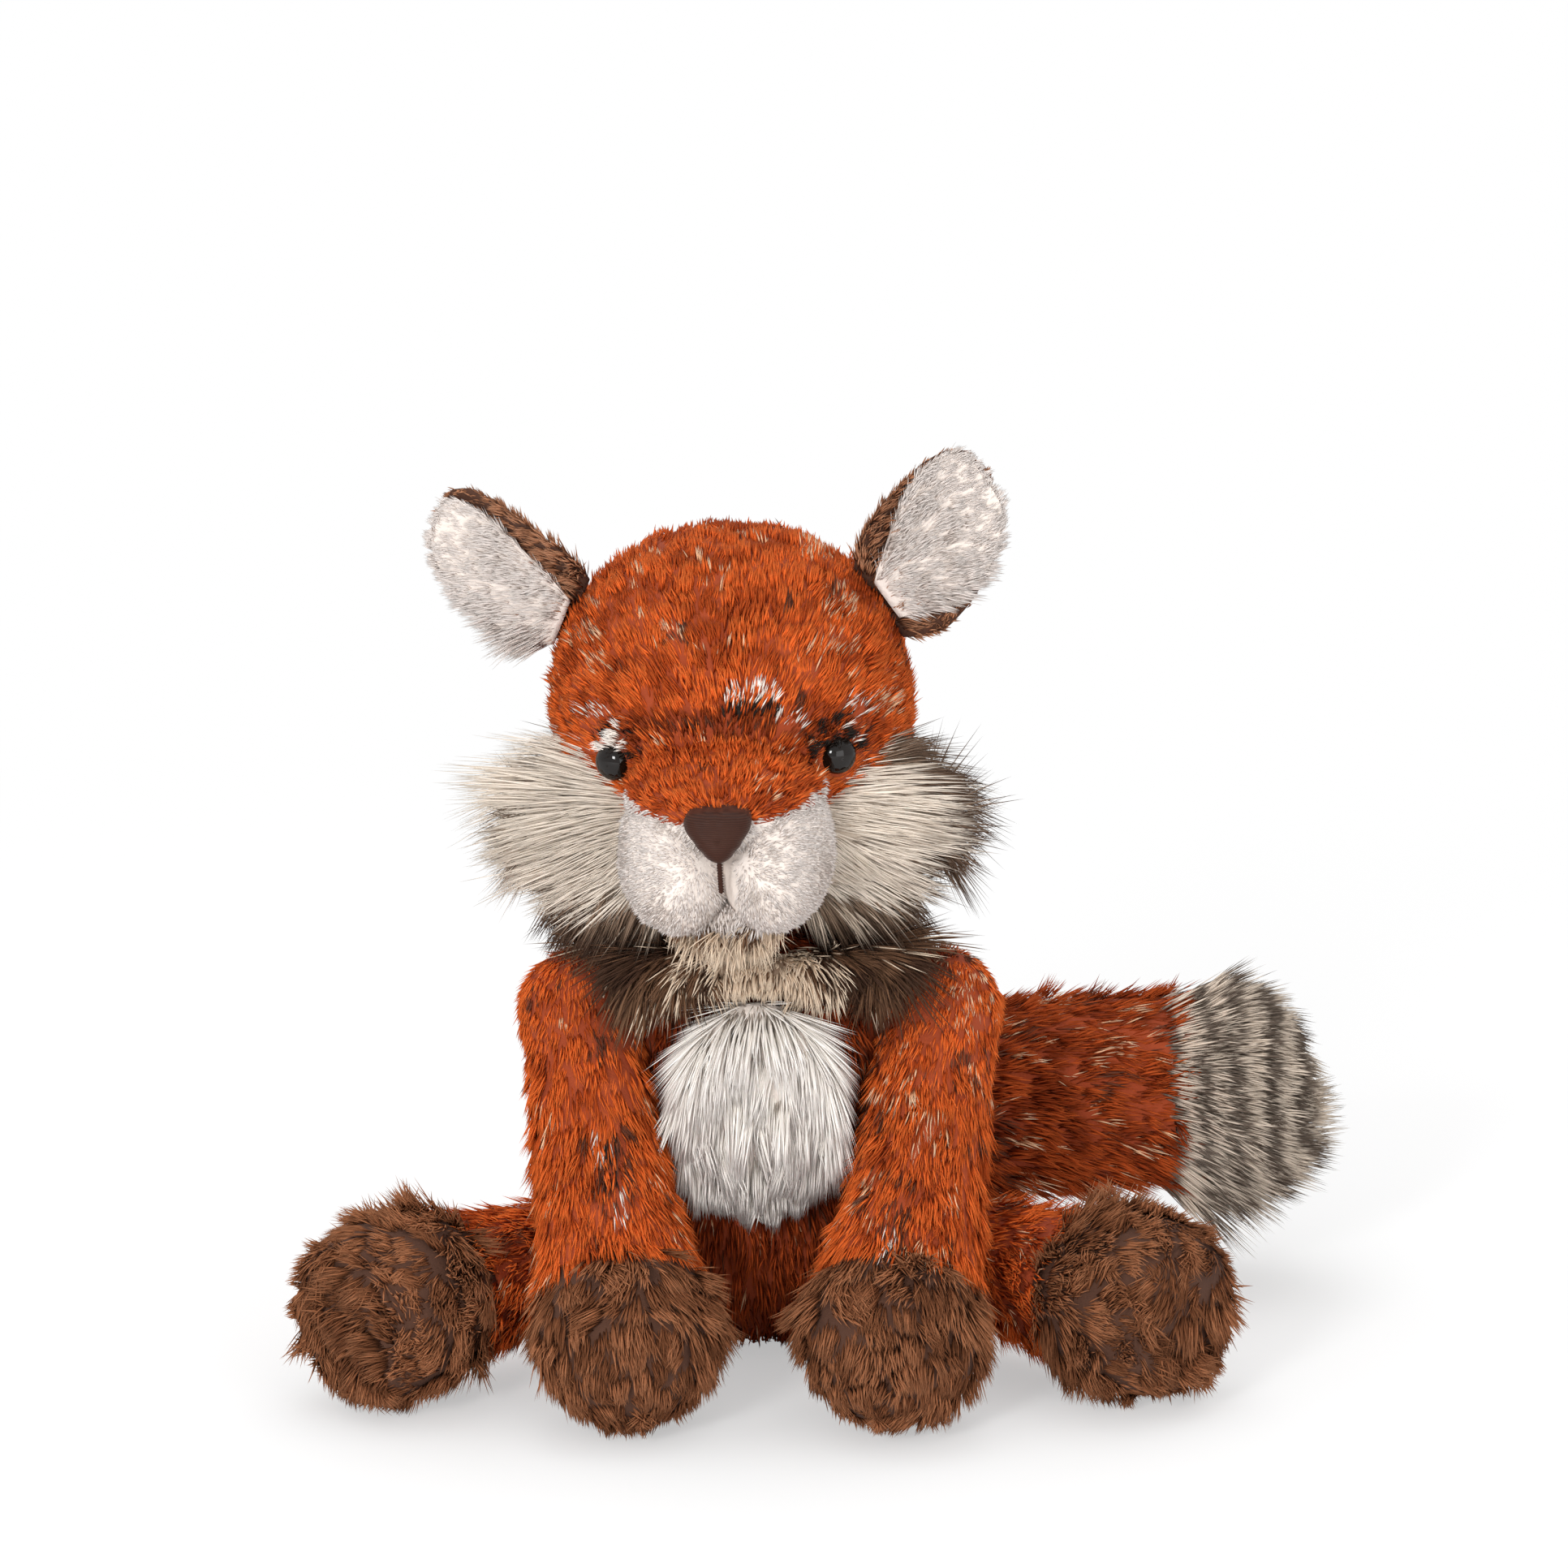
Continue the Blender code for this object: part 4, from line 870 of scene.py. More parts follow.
# A satin finish's second colour is painted sheen along its ribs.
WASHER_PLASTIC = SatinFinish("washer plastic", (0.70, 0.69, 0.66), (0.78, 0.77, 0.74))
NOSE_SATIN = SatinFinish("nose satin", (0.030, 0.010, 0.006), (0.074, 0.027, 0.016))
EYE_GLOSS = EyeFinish("eye gloss", (0.0035, 0.0025, 0.0020), (0.014, 0.007, 0.004))
RUST_PLUSH = Plush("rust_plush", RUST_CLOTH, RUST_PILE)
SHADED_PLUSH = Plush("rust_plush", RUST_CLOTH, SHADE_PILE)
BROWN_PLUSH = Plush("brown_plush", BROWN_CLOTH, BROWN_PILE)
EAR_PLUSH = Plush("brown_plush", BROWN_CLOTH, EAR_PILE)
WHITE_PLUSH = Plush("white_plush", WHITE_CLOTH, WHITE_PILE)
BIB_PLUSH = Plush("white_plush", WHITE_CLOTH, BIB_PILE)
RUFF_PLUSH = Plush("grey_plush", GREY_CLOTH, RUFF_PILE)
COLLAR_PLUSH = Plush("grey_plush", COLLAR_CLOTH, COLLAR_PILE)
BRUSH_PLUSH = Plush("grey_plush", GREY_CLOTH, BRUSH_PILE)


@dataclass(frozen=True)
class Coat:
    """How a pile stands, lies and gathers.

    Attributes:
        length: Length of a strand.
        width: Width of a strand at its widest.
        density: Strands for each square millimetre of cloth.
        lift: How upright a strand stands, from 0, flat, to 1.
        segments: Straight pieces in a strand.
        along: Pull of the lay along the surface's rows.
        down: Pull of the lay toward the floor.
        pull: A fixed heading added to the lay.
        away: Point that the lay runs away from, or None.
        stream: A fixed heading that strands also follow away from the cloth.
        droop: How far the tips bend down.
        tuft: Size of a tuft.
        gather: How far tips draw together in a tuft, from 0 to 1.
        unruly: Random lean of each strand.
        tumble: Random lean that a whole tuft shares.
        swirl: How far the lay turns from place to place, in radians.
        ragged: Spread of the lengths, as a share.
    """

    length: float
    width: float
    density: float
    lift: float = 0.4
    segments: int = 2
    along: float = 1.0
    down: float = 0.0
    pull: Place = (0.0, 0.0, 0.0)
    away: Place | None = None
    stream: Place = (0.0, 0.0, 0.0)
    droop: float = 0.2
    tuft: float = 0.005
    gather: float = 0.4
    unruly: float = 0.2
    tumble: float = 0.25
    swirl: float = 0.0
    ragged: float = 0.25

    def lay(self, points: Array, normals: Array, flow: Array) -> Array:
        """Heading of the pile along the cloth.

        The pulls are added, the part along the normal is taken out, and the heading is turned about
        the normal by the swirl times a smooth patch.

        Args:
            points: Roots of the strands.
            normals: Normal of the cloth at each root.
            flow: Heading of the surface's rows at each root.

        Returns:
            One heading for each strand.
        """
        heading = flow * self.along + np.array(self.pull) - np.array(UPWARD) * self.down
        if self.away is not None:
            heading = heading + unit(points - np.array(self.away))
        heading = unit(heading - normals * dot(heading, normals))
        turn = ((wander(points, 0.016, 5) - 0.5) * 2 * self.swirl)[:, None]
        return heading * np.cos(turn) + np.cross(normals, heading) * np.sin(turn)

    def spines(self, points: Array, normals: Array, start: Array, length: Array) -> Array:
        """Points of each strand from its root to its tip.

        Each segment adds a little droop to the first heading, and none goes into the cloth.

        Args:
            points: Roots of the strands.
            normals: Normal of the cloth at each root.
            start: First heading of each strand.
            length: Length of each strand.

        Returns:
            Strands by points by 3.
        """
        spine = [points - normals * ROOT_DEPTH]
        for step in range(1, self.segments + 1):
            heading = start - np.array(UPWARD) * self.droop * step / self.segments
            rise = dot(heading, normals)
            heading = unit(heading + normals * np.maximum(0.06 - rise, 0))
            spine.append(spine[-1] + heading * length / self.segments)
        return np.stack(spine, axis=1)


def tuft_centres(points: Array, size: float, rng: np.random.Generator) -> tuple[Array, Array]:
    """Nearest tuft of each strand.

    Space is parted in cubes with one centre at a random place in each, and the nearest centre of the
    27 cubes about a point is its tuft's.

    Args:
        points: Roots of the strands.
        size: Side of a cube.
        rng: Source of the random table.

    Returns:
        The centre of each strand's tuft, and the tuft's row in the table.
    """
    table = rng.random((TUFT_TABLE, 3))
    home = np.floor(points / size).astype(np.int64)
    step = np.stack(np.meshgrid(*[[-1, 0, 1]] * 3, indexing="ij"), -1).reshape(1, 27, 3)
    cube = home[:, None] + step
    key = (cube[..., 0] * 73856093 ^ cube[..., 1] * 19349663 ^ cube[..., 2] * 83492791) % TUFT_TABLE
    centres = (cube + table[key]) * size
    closest = np.argmin(np.sum((centres - points[:, None]) ** 2, axis=-1), axis=1)
    row = np.arange(len(points))
    return centres[row, closest], key[row, closest]


def strand_faces(segments: int) -> tuple[Array, Array]:
    """Faces of one strand and their places on its cell of the map.

    The strand is a closed spindle: a root point, rings of three and a tip. All three sides lie over
    one another on the map, because the colour changes only along the strand.

    Args:
        segments: Straight pieces of the strand, at least two.

    Returns:
        Vertex numbers of each triangle, and the places of its corners from 0 to 1.
    """
    faces, places = [], []
    tip = 3 * segments - 2
    for side in range(3):
        after = (side + 1) % 3
        faces.append((0, 1 + after, 1 + side))
        places.append(((0.5, 0), (1, 1 / segments), (0, 1 / segments)))
        for ring in range(segments - 2):
            low, high = 1 + 3 * ring, 4 + 3 * ring
            v0, v1 = (ring + 1) / segments, (ring + 2) / segments
            faces += [(low + side, low + after, high + after), (low + side, high + after, high + side)]
            places += [((0, v0), (1, v0), (1, v1)), ((0, v0), (1, v1), (0, v1))]
        last, v0 = tip - 3, (segments - 1) / segments
        faces.append((last + side, last + after, tip))
        places.append(((0, v0), (1, v0), (0.5, 1)))
    return np.array(faces), np.array(places, dtype=float)


def settle(
    item: bpy.types.Object,
    finish: Finish,
    body: str,
    slot: str,
    node: str | None = None,
) -> None:
    """Give a piece its finish, hide the CAD node it stands for, and attach it to its body.

    Args:
        item: The piece.
        finish: Its finish.
        body: Body that it moves with.
        slot: Not used.
        node: CAD node that it stands for, or None.
    """
    item.data.materials.append(finish.material())
    if node is not None:
        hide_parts(node)
    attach(item, body)
    LOG.info("%s: %d faces", item.name, len(item.data.polygons))


def fill_in(name: str, surface: Surface, node: str, body: str) -> None:
    """Loose filling inside a form, in place of its node."""
    item = surface.drawn_in(FILLING_INSET).mesh(name + "_filling")
    settle(item, FILLING, body, "stuffing_fibre", node)


@dataclass
class Pelt:
    """A stuffed cloth piece with its pile.

    Attributes:
        name: Name of the piece, before its endings.
        surface: Outer form that the pile reaches to about half way.
        body: Body that it moves with.
        plush: Slot, backing and pile.
        coat: How the pile stands.
        inset: How far the backing lies inside the form.
        seed: Picks the random numbers.
        node: CAD node that the cloth stands for, where it has another name.
    """

    name: str
    surface: Surface
    body: str
    plush: Plush
    coat: Coat
    inset: float
    seed: int
    node: str | None = None

    def back(self, fill: float = 0.8) -> None:
        """The backing, in place of its node."""
        item = self.surface.drawn_in(self.inset).mesh(self.name + "_cloth")
        settle(item, self.plush.cloth, self.body, self.plush.slot, self.node or self.name)

    def grow(
        self,
        ending: str = "_pile",
        keep: Chooser | None = None,
        trim: Chooser | None = None,
        mark: Chooser | None = None,
    ) -> None:
        """The pile, as closed strands.

        A strand starts on the backing with a heading that is its lift along the normal plus the rest
        along the lay. Then its points move toward the middle of their tuft by the gather times the
        share along the strand.

        Args:
            ending: Ending of the piece's name.
            keep: Share of strands kept at each place, from 0 to 1.
            trim: Share of the length at each place.
            mark: Kind of strand at each place.
        """
        coat, rng = self.coat, np.random.default_rng(self.seed)
        base = self.surface.drawn_in(self.inset)
        middles, area = base.cells()
        cell_chance = rng.random((len(middles), 2))
        weight = area if keep is None else area * keep(middles, cell_chance)
        count = int(weight.sum() * PER_SQUARE_METRE * coat.density * THINNED)
        cell = rng.choice(len(weight), size=count, p=weight / weight.sum())
        columns = base.points.shape[1]
        u = cell // columns + rng.random(count)
        v = cell % columns + rng.random(count)
        points = base.at(base.points, u, v)
        normals = unit(base.at(base.normals, u, v))
        lay = coat.lay(points, normals, unit(base.at(base.flow, u, v)))
        centres, tuft = tuft_centres(points, coat.tuft, rng)
        shared = rng.normal(size=(TUFT_TABLE, 3))[tuft]
        chance = np.stack([rng.random(count), rng.random(TUFT_TABLE)[tuft]], axis=1)
        length = coat.length * (1 + coat.ragged * (chance[:, :1] * 1.2 + chance[:, 1:] * 0.8 - 1.0))
        if trim is not None:
            length = length * trim(points, chance)[:, None]
        start = normals * coat.lift + lay * (1 - coat.lift) + np.array(coat.stream)
        start = start + shared * coat.tumble * 0.5
        start = start + rng.normal(size=(count, 3)) * coat.unruly * 0.5
        line = coat.spines(points, normals, start, length)
        reach = (np.arange(coat.segments + 1) / coat.segments)[None, :, None]
        draw = centres - points
        draw = draw - normals * dot(draw, normals)
        line = line + draw[:, None] * coat.gather * reach
        kind = np.zeros(count, int) if mark is None else mark(points, chance).astype(int)
        shade = 0.5 + (chance[:, 0] - 0.5) * 0.70 + (chance[:, 1] - 0.5) * 0.30
        shade = shade + (wander(points, 0.020, self.seed + 11) - 0.5) * 0.35
        shade = np.clip((shade * SHADES).astype(int), 0, SHADES - 1)
        self.weave(ending, line, normals, chance, shade, kind)

    def weave(
        self, ending: str, line: Array, normals: Array, chance: Array, shade: Array, kind: Array
    ) -> None:
        """Three-sided closed strands round their spines.

        A ring's corner is the spine plus across times a cosine and thickness times a sine, flat to
        the cloth. A strand is widest at its first ring and a point at both ends, and no corner goes
        under the floor.

        Args:
            ending: Ending of the piece's name.
            line: Spines, strands by points by 3.
            normals: Normal of the cloth at each root.
            chance: Two random numbers for each strand, its own and its tuft's.
            shade: Brightness of each strand, as one of the shades.
            kind: Kind of each strand, as one of the marks.
        """
        count, segments = line.shape[0], line.shape[1] - 1
        run = unit(np.diff(line, axis=1))[:, 1:]
        across = unit(np.cross(run, normals[:, None]))
        thick = np.cross(across, run)
        angle = (np.arange(3) * math.tau / 3 + math.pi / 2)[None, None, :, None]
        widths = np.interp(np.arange(1, segments) / segments, (0.3, 1), (1.1, 0.3))
        half = (self.coat.width / 2 * widths)[None, :, None, None]
        half = half * (0.75 + 0.65 * chance[:, :1, None, None])
        rings = line[:, 1:-1, None] + across[:, :, None] * np.cos(angle) * half
        rings = rings + thick[:, :, None] * np.sin(angle) * half * 0.6
        places = np.concatenate([line[:, :1], rings.reshape(count, -1, 3), line[:, -1:]], axis=1)
        places[..., 2] = np.maximum(places[..., 2], FLOOR_GAP)
        faces, cell = strand_faces(segments)
        if signed_volume(places[0][faces]) < 0:
            faces, cell = faces[:, ::-1], cell[:, ::-1]
        size = 3 * segments - 1
        loops = (np.arange(count)[:, None, None] * size + faces[None]).ravel()
        corner = cell[None] * [CELL_SHARE / SHADES, CELL_SHARE / MARKS]
        edge = (1 - CELL_SHARE) / 2
        corner = corner + (np.stack([shade, kind], -1)[:, None, None] + edge) / [SHADES, MARKS]
        pile = np.empty((count, size, 3))
        pile[..., 0] = np.concatenate([[0.0], np.repeat(np.arange(1, segments) / segments, 3), [1.0]])
        pile[..., 1] = (shade[:, None] + 0.5) / SHADES
        pile[..., 2] = (kind[:, None] + 0.5) / MARKS
        item = lay_mesh(
            self.name + ending, places.reshape(-1, 3), loops, np.arange(count * len(faces)) * 3,
            corner.reshape(-1, 2), pile.reshape(-1, 3),
        )
        settle(item, self.plush.pile, self.body, self.plush.slot)


@dataclass(frozen=True)
class Flecks:
    """Places seen from the front where strands of another kind grow.

    Attributes:
        spots: Across, up on the tilted view, half width, half height, kind and share of strands.
        deep: Share of the surface with darker plain strands.
        cream: Share of the surface with scattered cream strands.
        dark: Share of the surface with scattered dark strands.
    """

    spots: Rows = ()
    deep: float = 0.25
    cream: float = 0.04
    dark: float = 0.05

    def kinds(self, points: Array, chance: Array) -> Array:
        """Kind of each strand: plain or deep by patches, then scattered flecks, then the spots.

        Args:
            points: Roots of the strands.
            chance: Two random numbers for each strand, its own and its tuft's.

        Returns:
            One kind for each strand.
        """
        patch = wander(points, 0.010, 31)
        kind = np.where(patch + (chance[:, 1] - 0.5) * 0.5 < self.deep, Kind.DEEP, Kind.PLAIN)
        fine = wander(points, 0.0035, 47) * wander(points, 0.012, 53)
        kind = np.where((fine > 0.62 - self.cream) & (chance[:, 0] < 0.7), Kind.CREAM, kind)
        other = wander(points, 0.0032, 61) * wander(points, 0.011, 67)
        kind = np.where((other > 0.64 - self.dark) & (chance[:, 0] > 0.25), Kind.DARK, kind)
        seen = front_view(points)
        for x, up, wide, high, spot, share in self.spots:
            near = ((seen[:, 0] - x) / wide) ** 2 + ((seen[:, 1] - up) / high) ** 2 < 1
            near &= points[:, 1] < 0.01
            kind = np.where(near & (chance[:, 0] < share), spot, kind)
        return kind


def brown_kinds(points: Array, chance: Array) -> Array:
    """Deep brown strands in patches among the lighter ones."""
    return np.where(wander(points, 0.007, 71) + (chance[:, 1] - 0.5) * 0.8 < 0.42, 1, 0)


def smoky_kinds(points: Array, chance: Array) -> Array:
    """Grey strands in patches among the white ones."""
    return np.where(wander(points, 0.009, 103) + (chance[:, 0] - 0.5) * 0.6 < 0.30, 1, 0)


@dataclass
class Torso:
    """Upright body with its bib and collar."""

    height: float = 0.141
    half_width: float = 0.054
    half_depth: float = 0.047
    seat_setback: float = 0.015
    waist_setback: float = 0.001
    chest_setback: float = -0.005
    shares: Rows = (
        (0.0, 0.70, 0.52), (0.06, 0.87, 0.78), (0.17, 0.98, 0.97), (0.33, 1.0, 1.0), (0.50, 0.95, 0.92),
        (0.67, 0.89, 0.82), (0.82, 0.86, 0.76), (0.93, 0.79, 0.70), (1.0, 0.66, 0.60),
    )
    shaded_height: float = 0.124
    bib_half_width: float = 0.0285
    bib_offset: float = -0.0008
    bib_half_height: float = 0.0375
    bib_depth: float = 0.025
    bib_back: float = 0.036
    bib_height: float = 0.0885
    bib_shares: Rows = ((0.0, 0.86, 0.90), (0.35, 1.0, 1.0), (0.62, 0.90, 0.92), (0.86, 0.55, 0.62))
    collar_spread: float = 0.0445
    collar_end_setback: float = -0.013
    collar_front: float = -0.076
    collar_end_height: float = 0.1345
    collar_front_height: float = 0.1305
    collar_half_depth: float = 0.009
    collar_half_height: float = 0.0055
    collar_shares: Rows = (
        (0.04, 0.50, 0.50), (0.14, 0.83, 0.76), (0.28, 0.95, 0.92), (0.50, 1.0, 1.0),
        (0.72, 0.95, 0.92), (0.86, 0.83, 0.76), (0.96, 0.50, 0.50),
    )

    def dress(self) -> None:
        """Body cloth and pile, then the bib and the collar."""
        tube = Tube(
            (0, self.seat_setback, 0), (0, self.chest_setback, self.height),
            rows_of(self.shares, self.height, self.half_width, self.half_depth),
            control=(0, self.waist_setback, self.height / 2), level=UPWARD, tip=self.height,
        )
        fill_in("torso", tube.surface(24, 32), "torso_stuffing", "torso")
        coat = Coat(0.0105, 0.00088, 0.60, lift=0.25, along=-1.0, droop=0.22, tuft=0.0055, gather=0.32)
        # The body's darker shaded pile is painted shade.
        pelt = Pelt("torso", tube.surface(56, 64), "torso", SHADED_PLUSH, coat, 0.002, 3, "torso_skin")
        pelt.back()
        flecks = Flecks(deep=0.42, cream=-0.03, dark=0.03)

        def kinds(points: Array, chance: Array) -> Array:
            """Rust with flecks, and darker strands under the ruffs as painted shade."""
            shaded = (points[:, 2] > self.shaded_height) & (points[:, 1] < 0.0)
            # Dark strands as painted shadow under the ruffs.
            darker = np.where(chance[:, 0] < 0.5, Kind.DARK, Kind.CREASE)
            return np.where(shaded, darker, flecks.kinds(points, chance))

        def keep(points: Array, chance: Array) -> Array:
            """Few strands on the seat's underside and under the bib."""
            x, y, z = points.T
            hidden = (y < 0.0) & (np.hypot(x / 0.026, (z - self.bib_height) / 0.035) < 1)
            under = np.where(z < 0.002, 0.15, 1.0)
            return under * np.where(hidden, 0.1, 1.0) * np.where(y < -0.01, 0.8, 0.9)

        pelt.grow(keep=keep, mark=kinds)
        self.bib()
        self.collar()

    def collar(self) -> None:
        """Grey-brown pile that hangs from the neck seam over the chest and the shoulders."""
        spread, length = self.collar_spread, 2 * self.collar_spread
        form = Tube(
            (-spread, self.collar_end_setback, self.collar_end_height),
            (spread, self.collar_end_setback, self.collar_end_height),
            rows_of(self.collar_shares, length, self.collar_half_depth, self.collar_half_height),
            control=(0.0, self.collar_front, self.collar_front_height), side=(0, 1, 0),
            root=0.0, tip=length,
        )
        coat = Coat(
            0.024, 0.00070, 4.0, lift=0.20, segments=3, along=0.0, down=1.6, away=(0.0, 0.010, 0.140),
            droop=0.95, tuft=0.0062, gather=0.46, unruly=0.20, tumble=0.28, ragged=0.55,
        )
        surface = form.surface(48, 28)
        pelt = Pelt("collar", surface, "torso", COLLAR_PLUSH, coat, 0.0020, 7, "chest_collar")
        pelt.back()

        def tones(points: Array, chance: Array) -> Array:
            """Cream in the middle, brown to both sides."""
            stations = (-0.036, -0.022, -0.006, 0.012, 0.028)
            dark = luck(chance, 0.70) < np.interp(points[:, 0], stations, (0.96, 0.80, 0.34, 0.36, 0.96))
            deep = wander(points, 0.006, 107) * 0.6 + chance[:, 1] * 0.4 < 0.42
            return np.where(dark, np.where(deep, 2, 1), 0)

        def trim(points: Array, chance: Array) -> Array:
            """Short over the bib, long to both sides."""
            stations = (-0.042, -0.020, -0.010, 0.008, 0.018, 0.040)
            share = np.interp(points[:, 0], stations, (1.05, 0.62, 0.26, 0.24, 0.56, 0.90))
            return share * (0.70 + 0.60 * wander(points, 0.007, 109))

        pelt.grow(keep=lambda p, c: (p[:, 1] < 0.0) * 1.0, trim=trim, mark=tones)

    def bib(self) -> None:
        """Long white locks that hang from the chest."""
        root = (self.bib_offset, -self.bib_back, self.bib_height)
        front = (self.bib_offset, -self.bib_back - self.bib_depth, self.bib_height)
        rows = rows_of(self.bib_shares, self.bib_depth, self.bib_half_width, self.bib_half_height)
        form = Tube(root, front, rows, tip=self.bib_depth).surface(40, 72)
        coat = Coat(
            0.021, 0.00070, 1.9, lift=0.20, segments=3, along=0.25, down=0.9, stream=(0.0, -0.06, -0.22),
            droop=0.32, tuft=0.0090, gather=0.55, unruly=0.14, tumble=0.34, ragged=0.35,
        )
        pelt = Pelt("bib", form, "torso", BIB_PLUSH, coat, 0.004, 5, "chest_bib")
        pelt.back()

        def cream(points: Array, chance: Array) -> Array:
            """Creamier strands near the neck and in a few tufts."""
            high = np.clip((points[:, 2] - 0.118) / 0.02, 0, 1)
            return np.where(luck(chance, 0.3) < 0.16 + 0.5 * high, 1, 0)

        pelt.grow(
            keep=lambda p, c: np.where(p[:, 1] > -self.bib_back - 0.002, 0.1, 1.0),
            trim=lambda p, c: np.interp(p[:, 2], (0.054, 0.066, 0.088), (0.18, 0.55, 1.0)),
            mark=cream,
        )


@dataclass
class Limb:
    """A stuffed limb: a sleeve and an end piece on one form.

    Attributes:
        side: Side of the toy.
        kind: Word of its body and its filling.
        end: Name of its end piece.
        form: The whole form.
        cuff: Distance along the form where the end piece begins.
        flecks: Kinds of strand on the sleeve.
        seed: Picks the random numbers.
        hidden: Distance from the pivot inside which the sleeve is pressed in the body.
        end_trim: Share of the strands' length at the end.
    """

    side: Side
    kind: str
    end: str
    form: Tube
    cuff: float
    flecks: Flecks
    seed: int
    hidden: float
    end_trim: float = 0.5

    def dress(self, coat: Coat, end_coat: Coat) -> None:
        """Cloth and pile of both parts, each in its own coat.

        Args:
            coat: Pile of the sleeve.
            end_coat: Pile of the end piece.
        """
        whole, row = self.form.parted(72, 44, self.cuff)
        sleeve, end = Surface(whole.points[: row + 1]), Surface(whole.points[row:])
        word = self.side.word
        body = f"{self.kind}_{word}"
        pivot = np.array(self.form.start)
        pelt = Pelt(
            f"{self.kind}_sleeve_{word}", sleeve, body, RUST_PLUSH, coat, SLEEVE_INSET, self.seed
        )
        pelt.back()
        fill_in(body, self.form.surface(32, 24), f"{self.kind}_stuffing_{word}", body)

        def keep(points: Array, chance: Array) -> Array:
            """Few strands where the sleeve is pressed in the body."""
            pressed = (nearest(points, pivot) < self.hidden) & (np.abs(points[:, 0]) < abs(pivot[0]))
            return np.where(pressed, 0.35, 1.0)

        pelt.grow(
            keep=keep, trim=lambda p, c: np.interp(nearest(p, pivot), (0.022, 0.040), (0.60, 1.0)),
            mark=self.flecks.kinds,
        )
        foot = Pelt(f"{self.end}_{word}", end, body, BROWN_PLUSH, end_coat, 0.0042, self.seed + 1)
        foot.back()
        run = np.array(self.form.end) - pivot

        def trim(points: Array, chance: Array) -> Array:
            """Shorter strands toward the end, so that they don't stand past it."""
            share = (points - pivot) @ run / float(np.linalg.norm(run)) ** 2
            return np.interp(share, (0.70, 0.95), (1.0, self.end_trim))

        foot.grow(trim=trim, mark=brown_kinds)


@dataclass
class Arm:
    """Arm from the shoulder to the paw on the floor."""

    side: Side
    shoulder: Place = (0.0555, -0.012, 0.110)
    radius: float = 0.0225
    bow: float = 0.004
    paw: Place = (0.0385, -0.095, 0.029)
    paw_half_width: float = 0.032
    paw_half_height: float = 0.0295
    cuff_share: float = 0.64
    shares: Rows = (
        (0.0, 1.0, 1.0), (0.10, 0.95, 0.95), (0.28, 0.98, 0.94), (0.46, 1.05, 0.97), (0.64, 1.21, 1.11),
    )
    paw_shares: Rows = (
        (0.71, 0.95, 0.95), (0.79, 1.0, 1.0), (0.88, 0.87, 0.87), (0.95, 0.62, 0.62), (0.985, 0.34, 0.34),
    )
    spots: Rows = (
        (-0.0450, 0.0560, 0.0045, 0.0120, Kind.DARK, 0.70),
        (-0.0460, 0.0600, 0.0022, 0.0080, Kind.BLACK, 0.60),
        (-0.0430, 0.0480, 0.0024, 0.0060, Kind.WHITE, 0.60),
        (-0.0490, 0.0660, 0.0024, 0.0050, Kind.WHITE, 0.50),
        (-0.0470, 0.0960, 0.0030, 0.0080, Kind.DARK, 0.40),
        (0.0420, 0.0410, 0.0050, 0.0080, Kind.DARK, 0.70),
        (0.0400, 0.0370, 0.0026, 0.0050, Kind.WHITE, 0.60),
        (0.0330, 0.0740, 0.0030, 0.0140, Kind.DARK, 0.45),
        (0.0640, 0.1060, 0.0050, 0.0090, Kind.CREAM, 0.30),
    )

    def dress(self) -> None:
        """Sleeve with flecks and a shaggy paw."""
        start = self.side.mirror(self.shoulder)
        run = self.side.mirror(self.paw) - start
        reach = float(np.linalg.norm(run)) + self.paw_half_height
        tip = start + unit(run) * reach
        control = (start + tip) / 2 + self.side.mirror((self.bow, 0, 0))
        stations = ball_rows(self.radius)
        stations += rows_of(self.shares, reach, self.radius, self.radius)
        stations += rows_of(self.paw_shares, reach, self.paw_half_width, self.paw_half_height)
        form = Tube(
            tuple(start), tuple(tip), stations, control=tuple(control), root=-self.radius, tip=reach
        )
        flecks = Flecks(self.spots, deep=0.26, cream=-0.05, dark=-0.02)
        limb = Limb(
            self.side, "arm", "paw", form, self.cuff_share * reach, flecks, 21 + self.side.value,
            hidden=0.022,
        )
        coat = Coat(0.0105, 0.00070, 1.50, lift=0.21, droop=0.20, tuft=0.0062, gather=0.32, tumble=0.20)
        shag = Coat(
            0.0120, 0.00070, 1.75, lift=0.24, down=0.35, droop=0.18, tuft=0.0080, gather=0.46, tumble=0.42,
            swirl=0.4, unruly=0.22, ragged=0.45,
        )
        limb.dress(coat, shag)


